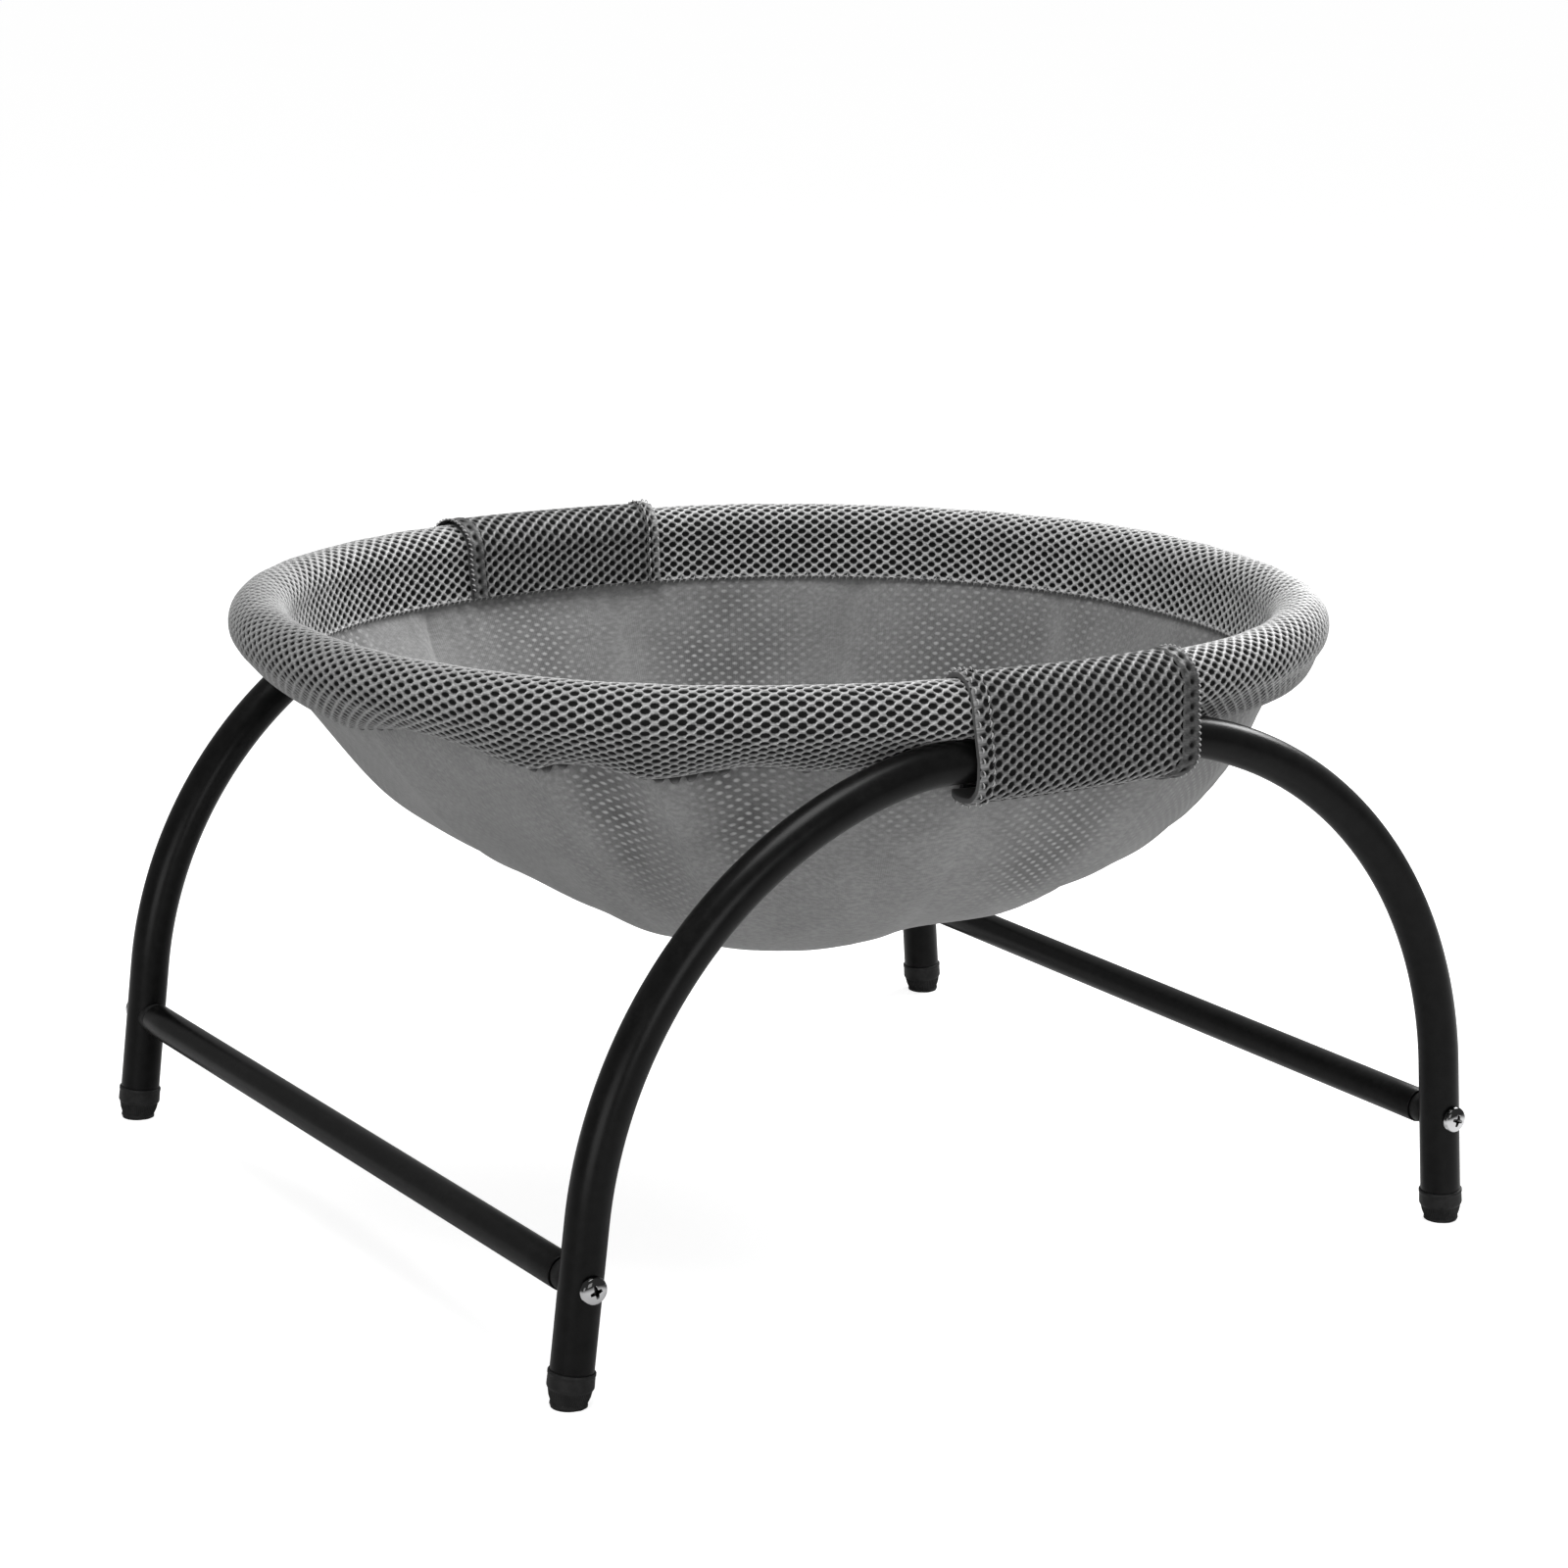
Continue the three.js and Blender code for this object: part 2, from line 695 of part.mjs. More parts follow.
/** The sleeve's section at a station: up its outside, over the hoop and back inside. */
function sleeveOutline(station, leave) {
  const hem = outerHem(station);
  const seam = innerSeam(station);
  const column = bowlColumn(station);
  const outer = [hem, hem.clone().lerp(aroundHoop(station, sleeveRadius, leave), 1 / 2)];
  const inner = [seam];
  const liningStep = (innerSkirtAngle - skirtLimitAngle) / liningArcs;
  const liningRadius = (hoopTubeRadius + fitGap) / Math.cos(liningStep / 2);
  for (const angle of spread(leave, innerSkirtAngle, sleeveArcs)) {
    outer.push(aroundHoop(station, sleeveRadius, angle));
  }
  for (const angle of spread(innerSkirtAngle, skirtLimitAngle, liningArcs)) {
    inner.push(aroundHoop(station, liningRadius, angle));
  }
  outer.push(seam.clone().addScaledVector(station.outward, -skirtThickness));
  inner.push(column[0].addScaledVector(station.outward, fitGap));
  inner.push(column[1].addScaledVector(station.outward, fitGap));
  return [
    ...outer.map((point) => pressedOff(point, archPress)),
    ...inner.map((point) => pressedOff(point, archPress + pressedThickness)),
  ];
}

/** Knitted sleeve sewn round the hoop, open underneath between its two hems. */
function sleeve(stations) {
  const leaves = stations.map(skirtLeaveAngle);
  const outlines = stations.map((station, i) => {
    const before = leaves[(i + leaves.length - 1) % leaves.length];
    const after = leaves[(i + 1) % leaves.length];
    return sleeveOutline(station, Math.min(before, leaves[i], after));
  });
  return piece('rim_sleeve', loopGeometry(outlines), spacerMesh());
}

/** Everything a wrap needs to know at one distance along it. */
function wrapStation(x, end) {
  const share = (1 - (Math.abs(x) / (hoopLength / 2)) ** hoopSquareness) ** (1 / hoopSquareness);
  const point = new THREE.Vector3(-end * x, end * share * hoopDepth / 2, hoopHeight);
  const rim = rimStation(point);
  const centre = nearestOnArch(new THREE.Vector3(point.x, end * archPlane, archHeight));
  const along = new THREE.Vector3(0, end, 0);
  return { rim, centre, along };
}

/** Point on a circle round the arch under a wrap. */
function aroundArch(station, radius, angle) {
  const point = station.centre.clone().addScaledVector(station.along, radius * Math.cos(angle));
  point.z += radius * Math.sin(angle);
  return point;
}

/** Direction in which a wrap runs straight down from the rim to the arch. */
function wrapTangent(station) {
  const outward = Math.abs(station.centre.y) - Math.abs(station.rim.point.y);
  const down = station.centre.z - station.rim.point.z;
  const rise = sleeveRadius - tubeRadius;
  return Math.atan2(down, outward) + Math.acos(rise / Math.hypot(outward, down));
}

/** A wrap's section at a station: inside the rim, over it and down to the arch's outside. */
function wrapColumn(station, lift) {
  const tangent = wrapTangent(station);
  const sweep = tangent - wrapTopAngle;
  const radius = (sleeveRadius + fitGap) / Math.cos(sweep / wrapArcs / 2) + lift;
  const seam = innerSeam(station.rim);
  const column = [seam.addScaledVector(station.rim.outward, -skirtThickness - fitGap - lift)];
  for (let arc = 0; arc <= wrapArcs; arc += 1) {
    column.push(aroundHoop(station.rim, radius, wrapTopAngle + (sweep * arc) / wrapArcs));
  }
  for (const angle of [tangent, wrapHingeAngle]) {
    column.push(aroundArch(station, tubeRadius + 2 * fitGap + lift, angle));
  }
  return column;
}

/** Distances along a wrap, with a close pair where each hem's fold ends. */
function wrapPlaces() {
  const left = wrapHemWidth - wrapLeftReach;
  const right = wrapRightReach - wrapHemWidth;
  const places = [{ x: -wrapLeftReach, rise: wrapHemRise }, { x: left, rise: wrapHemRise }];
  for (const x of spread(left + wrapHemRise, right - wrapHemRise, wrapSpans)) {
    places.push({ x, rise: 0 });
  }
  places.push({ x: right, rise: wrapHemRise }, { x: wrapRightReach, rise: wrapHemRise });
  return places;
}

/** Evenly spaced values from one end to the other. */
function spread(from, to, spans) {
  return Array.from({ length: spans + 1 }, (_, step) => from + ((to - from) * step) / spans);
}

/** A wrap from its seam inside the rim down to its fold beside the arch. */
function wrap(name, end) {
  const places = wrapPlaces().map((place) => ({ ...place, station: wrapStation(place.x, end) }));
  const face = places.map(({ station, rise }) => wrapColumn(station, wrapThickness + rise));
  const back = places.map(({ station }) => wrapColumn(station, 0));
  return piece(name, clothGeometry(face, back, false), spacerMesh());
}

/** Stations across a flap, so far inside the flap's own side edges. */
function flapStations(end, inset) {
  const left = wrapHemWidth + wrapHemRise + inset - wrapLeftReach;
  const right = wrapRightReach - wrapHemWidth - wrapHemRise - inset;
  return spread(left, right, wrapSpans).map((x) => wrapStation(x, end));
}

/** Part of the bowl's outer face across a flap, lifted off it by a distance. */
function bowlPatch(stations, shares, lift) {
  const face = stations.map(({ rim }) => shares.map((share) => bowlPoint(rim, share)));
  return offsetGrid(face, lift, false);
}

/** The flap that goes on from a wrap, under the arch and onto the bowl. */
function wrapFlap(name, end) {
  const stations = flapStations(end, 0);
  const seat = 3 * fitGap + 2 * stripThickness;
  const start = wrapHingeAngle - fitGap / tubeRadius;
  const middle = (start + flapLeaveAngle) / 2;
  const columns = (lift) => {
    const ends = bowlPatch(stations, flapEndShares, seat + lift);
    return stations.map((station, i) => [
      ...[start, middle, flapLeaveAngle].map((angle) => (
        aroundArch(station, tubeRadius + 2 * fitGap + lift, angle)
      )),
      ...ends[i],
    ]);
  };
  return piece(name, clothGeometry(columns(wrapThickness), columns(0), false), spacerMesh());
}

/** A strip of tape on the bowl, so far off the bowl's own face. */
function tapeStrip(name, end, lift) {
  const stations = flapStations(end, stripSideInset);
  const face = bowlPatch(stations, stripShares, lift + stripThickness);
  const back = bowlPatch(stations, stripShares, lift);
  return piece(name, clothGeometry(face, back, false), fasteningTape());
}

/** The whole cot. */
function buildCot() {
  const cot = new THREE.Group();
  const stations = rimStationList();
  for (const [end, endName] of [[-1, 'front'], [1, 'rear']]) {
    cot.add(arch(`${endName}_arch`, end * archPlane));
    for (const [side, sideName] of [[-1, 'left'], [1, 'right']]) {
      cot.add(crossbarInsert(`bar_insert_${endName}_${sideName}`, side, end));
      cot.add(frameScrew(`frame_screw_${endName}_${sideName}`, side, end));
      cot.add(foot(`foot_${endName}_${sideName}`, side, end));
    }
    cot.add(wrap(`${endName}_wrap`, end));
    cot.add(wrapFlap(`${endName}_wrap_flap`, end));
    cot.add(tapeStrip(`${endName}_loop_strip`, end, fitGap));
    cot.add(tapeStrip(`${endName}_hook_strip`, end, 2 * fitGap + stripThickness));
  }
  cot.add(crossbar('left_crossbar', -1));
  cot.add(crossbar('right_crossbar', 1));
  cot.add(halfHoop('rear_hoop', 0));
  cot.add(halfHoop('front_hoop', Math.PI));
  cot.add(hoopJoiner('right_hoop_joiner', 0));
  cot.add(hoopJoiner('left_hoop_joiner', Math.PI));
  cot.add(sleeve(stations));
  cot.add(bowl(stations));
  return cot;
}

export default buildCot();
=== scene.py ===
"""Looks of an oval cloth cot slung in a round rim on two bent tube arches.

Metres, in the row frame: the origin is on the floor under the middle of the frame,
X runs along the arches, the front is towards -Y and Z is up.
"""

import sys
import logging
import math
from collections.abc import Callable, Sequence
from dataclasses import dataclass, field
from enum import Enum

import bpy
import numpy as np
from mathutils import Matrix, Vector


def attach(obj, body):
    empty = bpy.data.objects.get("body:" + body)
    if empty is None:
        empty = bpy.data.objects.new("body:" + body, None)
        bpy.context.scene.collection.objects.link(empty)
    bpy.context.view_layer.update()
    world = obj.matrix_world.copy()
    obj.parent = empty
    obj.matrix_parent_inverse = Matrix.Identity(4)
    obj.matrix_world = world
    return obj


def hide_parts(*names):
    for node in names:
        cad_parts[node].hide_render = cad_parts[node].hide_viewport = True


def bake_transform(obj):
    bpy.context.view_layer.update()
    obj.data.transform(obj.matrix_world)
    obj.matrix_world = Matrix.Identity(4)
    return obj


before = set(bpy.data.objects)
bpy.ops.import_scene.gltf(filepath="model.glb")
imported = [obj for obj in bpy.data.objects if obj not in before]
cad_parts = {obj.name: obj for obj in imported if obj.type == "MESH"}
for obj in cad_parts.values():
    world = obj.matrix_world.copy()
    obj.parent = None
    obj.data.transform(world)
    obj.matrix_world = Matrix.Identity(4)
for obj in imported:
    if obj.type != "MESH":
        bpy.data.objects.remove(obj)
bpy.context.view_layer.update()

MM = 0.001
KNIT_PITCH = 7.33 * MM
RIM_HALF_ROW = 2.58 * MM
WRAP_HALF_ROW = 2.6 * MM
OVAL_PITCH = 8.3 * MM
FULL_TURN = 2 * math.pi
Array = np.ndarray
log = logging.getLogger("cot")


class End(Enum):
    """The two ends of the cot, by the sign of Y."""

    FRONT = -1
    REAR = 1

    @property
    def title(self) -> str:
        """The end's word in piece names."""
        return self.name.lower()


class Side(Enum):
    """The two sides of the cot, by the sign of X."""

    LEFT = -1
    RIGHT = 1

    @property
    def title(self) -> str:
        """The side's word in piece names."""
        return self.name.lower()


class Slot(Enum):
    """The record's material slots."""

    FRAME = "frame_coat"
    HOOP = "hoop_steel"
    CHROME = "chrome"
    PLASTIC = "black_plastic"
    FOOT = "foot_rubber"
    RIM = "rim_mesh"
    WRAP = "wrap_mesh"
    BOWL = "bowl_cloth"
    TAPE = "tape"


def smooth_step(value: Array, low: float, high: float) -> Array:
    """Share from 0 at low to 1 at high, with level ends."""
    share = np.clip((value - low) / (high - low), 0, 1)
    return share * share * (3 - 2 * share)


def round_points(
    radius: Array | float, turn: Array, height: Array | float
) -> Array:
    """Points round the Z axis.

    Args:
        radius: Their distances from it.
        turn: Their angles round it.
        height: Their heights.

    Returns:
        The points.
    """
    parts = np.broadcast_arrays(radius * np.cos(turn), radius * np.sin(turn), height)
    return np.stack(parts, -1)


def unit(vectors: Array) -> Array:
    """The vectors at length one."""
    return vectors / np.maximum(np.linalg.norm(vectors, axis=-1, keepdims=True), 1e-12)


def path_lengths(points: Array) -> Array:
    """Distance of each point of a path from its start.

    Args:
        points: The path's points, along the second last axis.

    Returns:
        The distances, with the last axis dropped.
    """
    steps = np.linalg.norm(np.diff(points, axis=-2), axis=-1)
    start = np.zeros(steps.shape[:-1] + (1,))
    return np.concatenate([start, np.cumsum(steps, axis=-1)], axis=-1)


def respaced(points: Array, count: int) -> Array:
    """A path with its points evenly spaced by length.

    Args:
        points: The path's points, one a row.
        count: How many points the result has.

    Returns:
        The new points.
    """
    along = path_lengths(points)
    wanted = np.linspace(0, along[-1], count)
    return np.stack([np.interp(wanted, along, column) for column in points.T], axis=-1)


def blurred(values: Array, reach: int) -> Array:
    """Values round a closed loop, each averaged with its neighbours.

    Args:
        values: One value for each place on the loop.
        reach: How many neighbours on each side count, weighted like a bell.

    Returns:
        The averaged values.
    """
    offsets = np.arange(-2 * reach, 2 * reach + 1)
    weights = np.exp(-((offsets / reach) ** 2))
    total = sum(w * np.roll(values, k) for k, w in zip(offsets, weights))
    return total / weights.sum()


def ripple(places: Array, seed: int, waves: Sequence[int]) -> Array:
    """A slow irregular wave round a loop, of about unit height.

    Args:
        places: Angles round the loop.
        seed: Which wave to draw.
        waves: How many times each part of it goes up and down round the loop.

    Returns:
        The wave's height at each angle.
    """
    draw = np.random.default_rng(seed)
    total = np.zeros_like(places)
    for count in waves:
        total += draw.normal() * np.cos(count * places + draw.uniform(0, FULL_TURN))
    return total / math.sqrt(len(waves))


def turned(angle: Array, at: float, width: float) -> Array:
    """How many widths angles are from a place, the short way round.

    Args:
        angle: Angles seen from above.
        at: The place, in degrees.
        width: The width, in degrees.

    Returns:
        The distances, in widths.
    """
    away = angle - math.radians(at)
    return np.arctan2(np.sin(away), np.cos(away)) / math.radians(width)


def hump(values: Array, middle: float, width: float) -> Array:
    """A bell of height 1 over a middle."""
    return np.exp(-(((values - middle) / width) ** 2))


@dataclass(frozen=True)
class BendRun:
    """A straight or bent run of an arch's centreline, in the XZ plane."""

    x: float
    z: float
    heading: float
    length: float
    turn: float

    def at(self, distance: Array) -> tuple[Array, Array]:
        """Points of the run and its headings there.

        Args:
            distance: Distances from the run's start.

        Returns:
            The XZ points and the headings.
        """
        distance = np.asarray(distance, float)
        if self.turn == 0:
            heading = np.full_like(distance, self.heading)
            across = self.x + distance * math.cos(self.heading)
            up = self.z + distance * math.sin(self.heading)
            return np.stack([across, up], -1), heading
        radius = self.length / self.turn
        heading = self.heading - distance / radius
        across = self.x + radius * (math.sin(self.heading) - np.sin(heading))
        up = self.z + radius * (np.cos(heading) - math.cos(self.heading))
        return np.stack([across, up], -1), heading

    def nearest(self, points: Array) -> Array:
        """Nearest point of the run to each of some points.

        Args:
            points: Points in the XZ plane.

        Returns:
            Points of the run.
        """
        offset = points - np.array([self.x, self.z])
        if self.turn == 0:
            along = offset @ np.array([math.cos(self.heading), math.sin(self.heading)])
            return self.at(np.clip(along, 0, self.length))[0]
        radius = self.length / self.turn
        centre = radius * np.array([math.sin(self.heading), -math.cos(self.heading)])
        offset = offset - centre
        heading = np.arctan2(-offset[..., 0], offset[..., 1])
        distance = (self.heading - heading) * radius
        return self.at(np.clip(distance, 0, self.length))[0]


@dataclass(frozen=True)
class Layout:
    """Sizes that several pieces are set out from, the same as the solids'."""

    fit_gap: float = 0.3 * MM
    tube_radius: float = 9.5 * MM
    tube_wall: float = 1.2 * MM
    arch_plane: float = 218.9 * MM
    foot_spread: float = 480.6 * MM
    arch_height: float = 255.5 * MM
    shoulder_radius: float = 113.6 * MM
    shoulder_turn: float = math.radians(13.9)
    bow_radius: float = 198.7 * MM
    leg_splay: float = math.radians(5.6)
    foot_height: float = 16 * MM
    crossbar_height: float = 53.2 * MM
    hoop_length: float = 504 * MM
    hoop_depth: float = 431 * MM
    hoop_height: float = 276.8 * MM
    hoop_squareness: float = 2.14
    sleeve_radius: float = 13.8 * MM

    @property
    def leg_reach(self) -> float:
        """Distance of a leg's centreline from the middle, level with the crossbars."""
        return self.foot_spread / 2 - self.crossbar_height * math.tan(self.leg_splay)

    def arch_runs(self) -> list[BendRun]:
        """The runs of an arch's centreline.

        Returns:
            The runs, from one tube end to the other.
        """
        bow_turn = math.pi / 2 - self.leg_splay - self.shoulder_turn
        shoulder_rise = self.shoulder_radius * (1 - math.cos(self.shoulder_turn))
        bow_rise = self.bow_radius * (math.cos(self.shoulder_turn) - math.sin(self.leg_splay))
        leg = (self.arch_height - shoulder_rise - bow_rise) / math.cos(self.leg_splay)
        shoulder_run = self.shoulder_radius * math.sin(self.shoulder_turn)
        bow_run = self.bow_radius * (math.cos(self.leg_splay) - math.sin(self.shoulder_turn))
        top = self.foot_spread - 2 * (shoulder_run + bow_run + leg * math.sin(self.leg_splay))
        leg_part = (leg - self.foot_height, 0.0)
        bow_part = (self.bow_radius * bow_turn, bow_turn)
        shoulder_part = (self.shoulder_radius * self.shoulder_turn, self.shoulder_turn)
        x = self.foot_height * math.sin(self.leg_splay) - self.foot_spread / 2
        z = self.foot_height * math.cos(self.leg_splay)
        heading = math.pi / 2 - self.leg_splay
        runs = []
        order = [leg_part, bow_part, shoulder_part, (top, 0.0), shoulder_part, bow_part, leg_part]
        for length, turn in order:
            run = BendRun(x, z, heading, length, turn)
            runs.append(run)
            (x, z), heading = run.at(length)
            x, z, heading = float(x), float(z), float(heading)
        return runs

    def nearest_on_arch(self, points: Array) -> Array:
        """Nearest point of the arch on its own side to each point.

        Args:
            points: Points in the row frame.

        Returns:
            Points of the arches' centrelines.
        """
        flat = points[..., [0, 2]]
        best = np.full_like(flat, np.inf)
        least = np.full(flat.shape[:-1], np.inf)
        for run in self.arch_runs():
            found = run.nearest(flat)
            gap = np.linalg.norm(found - flat, axis=-1)
            closer = gap < least
            best[closer] = found[closer]
            least = np.minimum(least, gap)
        plane = np.where(points[..., 1] < 0, -self.arch_plane, self.arch_plane)
        return np.stack([best[..., 0], plane, best[..., 1]], -1)

    def pressed_off(self, points: Array, clearance: float) -> Array:
        """The points, with any that an arch would hold pushed out of its tube.

        Args:
            points: Points in the row frame.
            clearance: Least distance that is left between them and the tube.

        Returns:
            The points where they end up.
        """
        centre = self.nearest_on_arch(points)
        away = points - centre
        gap = np.linalg.norm(away, axis=-1, keepdims=True)
        least = self.tube_radius + clearance
        return np.where(gap < least, centre + unit(away) * least, points)

    def hoop_point(self, angle: Array) -> Array:
        """Points of the hoop's centreline.

        Args:
            angle: Angles seen from above.

        Returns:
            The points.
        """
        power = self.hoop_squareness
        across = np.abs(np.cos(angle) / (self.hoop_length / 2)) ** power
        along = np.abs(np.sin(angle) / (self.hoop_depth / 2)) ** power
        reach = (across + along) ** (-1 / power)
        height = np.full_like(reach, self.hoop_height)
        return np.stack([reach * np.cos(angle), reach * np.sin(angle), height], -1)

    def hoop_outward(self, points: Array) -> Array:
        """Level directions that point straight out of the hoop.

        Args:
            points: Points of its centreline.

        Returns:
            The directions.
        """
        power = self.hoop_squareness - 1
        x, y = points[..., 0], points[..., 1]
        slope_x = np.sign(x) * np.abs(x) ** power / (self.hoop_length / 2) ** self.hoop_squareness
        slope_y = np.sign(y) * np.abs(y) ** power / (self.hoop_depth / 2) ** self.hoop_squareness
        return unit(np.stack([slope_x, slope_y, np.zeros_like(x)], -1))

    def hoop_angles(self, count: int) -> Array:
        """Angles of places that are evenly spaced along the hoop, from its right end.

        Args:
            count: How many there are.

        Returns:
            The angles.
        """
        fine = np.linspace(0, FULL_TURN, 20 * count + 1)
        along = path_lengths(self.hoop_point(fine))
        return np.interp(np.arange(count) * along[-1] / count, along, fine)


LAYOUT = Layout()


class Draft:
    """Corners, faces and per-corner values of a mesh that is being made up."""

    def __init__(self) -> None:
        """Starts with nothing."""
        self.points: list[Array] = []
        self.quads: list[Array] = []
        self.tris: list[Array] = []
        self.values: dict[str, list[Array]] = {}
        self.count = 0

    def add(
        self,
        points: Array,
        quads: Array | None = None,
        tris: Array | None = None,
        **values: Array | float,
    ) -> int:
        """Adds corners and the faces between them.

        Args:
            points: The new corners.
            quads: Four-cornered faces, by place among the new corners.
            tris: Three-cornered faces, likewise.
            values: Named values of the corners, one each or one for all.

        Returns:
            The place of the first new corner in the whole mesh.
        """
        first = self.count
        points = np.asarray(points, float).reshape(-1, 3)
        self.points.append(points)
        self.count += len(points)
        for faces, kept in ((quads, self.quads), (tris, self.tris)):
            if faces is not None and len(faces):
                kept.append(np.asarray(faces, np.int64) + first)
        for name, value in values.items():
            if np.ndim(value) == 0:
                value = np.full(len(points), float(value))
            width = () if np.size(value) == len(points) else (-1,)
            value = np.reshape(value, (len(points),) + width)
            kept_values = self.values.setdefault(name, [])
            missing = first - sum(len(part) for part in kept_values)
            if missing:
                kept_values.append(np.zeros((missing,) + value.shape[1:]))
            kept_values.append(value)
        return first

    def grid(
        self,
        points: Array,
        loop: bool = False,
        ring: bool = False,
        flip: bool = False,
        **values: Array | float,
    ) -> Array:
        """Adds a sheet of four-cornered faces.

        Args:
            points: Rows and columns of corners.
            loop: Whether the last row joins the first.
            ring: Whether the last column joins the first.
            flip: Whether the faces look the other way.
            values: Named values of the corners.

        Returns:
            The corners' places in the whole mesh, as a grid.
        """
        rows, columns = points.shape[:2]
        place = np.arange(rows * columns).reshape(rows, columns)
        wide = np.vstack([place, place[:1]]) if loop else place
        wide = np.hstack([wide, wide[:, :1]]) if ring else wide
        corners = [wide[:-1, :-1], wide[1:, :-1], wide[1:, 1:], wide[:-1, 1:]]
        quads = np.stack(corners[::-1] if flip else corners, -1).reshape(-1, 4)
        return place + self.add(points.reshape(-1, 3), quads, **values)

    def bridge(self, first: Array, second: Array, ring: bool = False, flip: bool = False) -> None:
        """Adds faces between two rows of corners that are already there.

        Args:
            first: The first row's places in the whole mesh.
            second: The second row's places.
            ring: Whether each row joins itself.
            flip: Whether the faces look the other way.
        """
        if ring:
            first, second = (np.append(row, row[0]) for row in (first, second))
        quads = np.stack([first[:-1], first[1:], second[1:], second[:-1]], -1)
        self.quads.append(quads[:, ::-1] if flip else quads)

    def cap(self, ring: Array, centre: Sequence[float], flip: bool = False, **values: float) -> None:
        """Closes a ring of corners with faces to a point in its middle.

        Args:
            ring: The corners' places in the whole mesh.
            centre: The point.
            flip: Whether the faces look the other way.
            values: Named values of the point.
        """
        middle = self.add(np.array([centre]), **values)
        after = np.roll(ring, -1)
        faces = np.stack([ring, after, np.full_like(ring, middle)], -1)
        self.tris.append(faces[:, ::-1] if flip else faces)

    def build(self, name: str, crease: float | None = None) -> bpy.types.Object:
        """Makes the object.

        Args:
            name: The object's name.
            crease: Edges bent by more than this angle stay sharp.

        Returns:
            The object, linked to the scene and shaded smooth.
        """
        points = np.concatenate(self.points)
        quads = np.concatenate(self.quads) if self.quads else np.zeros((0, 4), np.int64)
        tris = np.concatenate(self.tris) if self.tris else np.zeros((0, 3), np.int64)
        sizes = np.concatenate([np.full(len(quads), 4), np.full(len(tris), 3)])
        starts = np.concatenate([[0], np.cumsum(sizes)[:-1]])
        mesh = bpy.data.meshes.new(name)
        mesh.vertices.add(len(points))
        mesh.vertices.foreach_set("co", points.astype(np.float32).ravel())
        mesh.loops.add(int(sizes.sum()))
        corners = np.concatenate([quads.ravel(), tris.ravel()])
        mesh.loops.foreach_set("vertex_index", corners.astype(np.int32))
        mesh.polygons.add(len(sizes))
        mesh.polygons.foreach_set("loop_start", starts.astype(np.int32))
        mesh.update(calc_edges=True)
        for key, parts in self.values.items():
            value = np.concatenate(parts)
            short = len(points) - len(value)
            value = np.concatenate([value, np.zeros((short,) + value.shape[1:])])
            kind, word = ("FLOAT_VECTOR", "vector") if value.ndim == 2 else ("FLOAT", "value")
            attribute = mesh.attributes.new(key, kind, "POINT")
            attribute.data.foreach_set(word, value.astype(np.float32).ravel())
        mesh.validate()
        mesh.shade_smooth()
        if crease is not None:
            mesh.set_sharp_from_angle(angle=crease)
        piece = bpy.data.objects.new(name, mesh)
        bpy.context.scene.collection.objects.link(piece)
        return piece


def settle(piece: bpy.types.Object, body: str, slot: Slot, *nodes: str) -> bpy.types.Object:
    """Makes a piece ride on a body and stand for its nodes, whose solids it hides.

    Args:
        piece: The piece, in place.
        body: The CAD body that it moves with.
        slot: The record's material slot that its finish comes from; not used.
        nodes: The CAD nodes that it replaces, if any.

    Returns:
        The piece.
    """
    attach(piece, body)
    if nodes:
        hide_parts(*nodes)
    log.info("%s: %d faces, rides on %s", piece.name, len(piece.data.polygons), body)
    return piece


def swept_tube(
    draft: Draft,
    centres: Array,
    first_axis: Array,
    second_axis: Array,
    radii: Array | float,
    sides: int,
    flip: bool = False,
    **values: Array | float,
) -> Array:
    """Adds a tube along a line of centres.

    Args:
        draft: The mesh to add to.
        centres: The line, one point a row.
        first_axis: Direction of each ring's first corner.
        second_axis: Direction at right angles to it, in each ring's plane.
        radii: One radius for each ring, or one for all.
        sides: Corners of a ring.
        flip: Whether the faces look inwards.
        values: Named values of the corners.

    Returns:
        The corners' places in the whole mesh.
    """
    turn = np.arange(sides) * FULL_TURN / sides
    radii = np.broadcast_to(radii, (len(centres),))
    spokes = (
        np.cos(turn)[None, :, None] * first_axis[:, None, :]
        + np.sin(turn)[None, :, None] * second_axis[:, None, :]
    )
    points = centres[:, None, :] + radii[:, None, None] * spokes
    return draft.grid(points, ring=True, flip=flip, **values)


Socket = bpy.types.NodeSocket
Sockets = dict[str, Socket]
Colour = tuple[float, float, float]


def opaque(colour: Colour) -> tuple[float, float, float, float]:
    """A colour with full alpha."""
    return (*colour, 1.0)


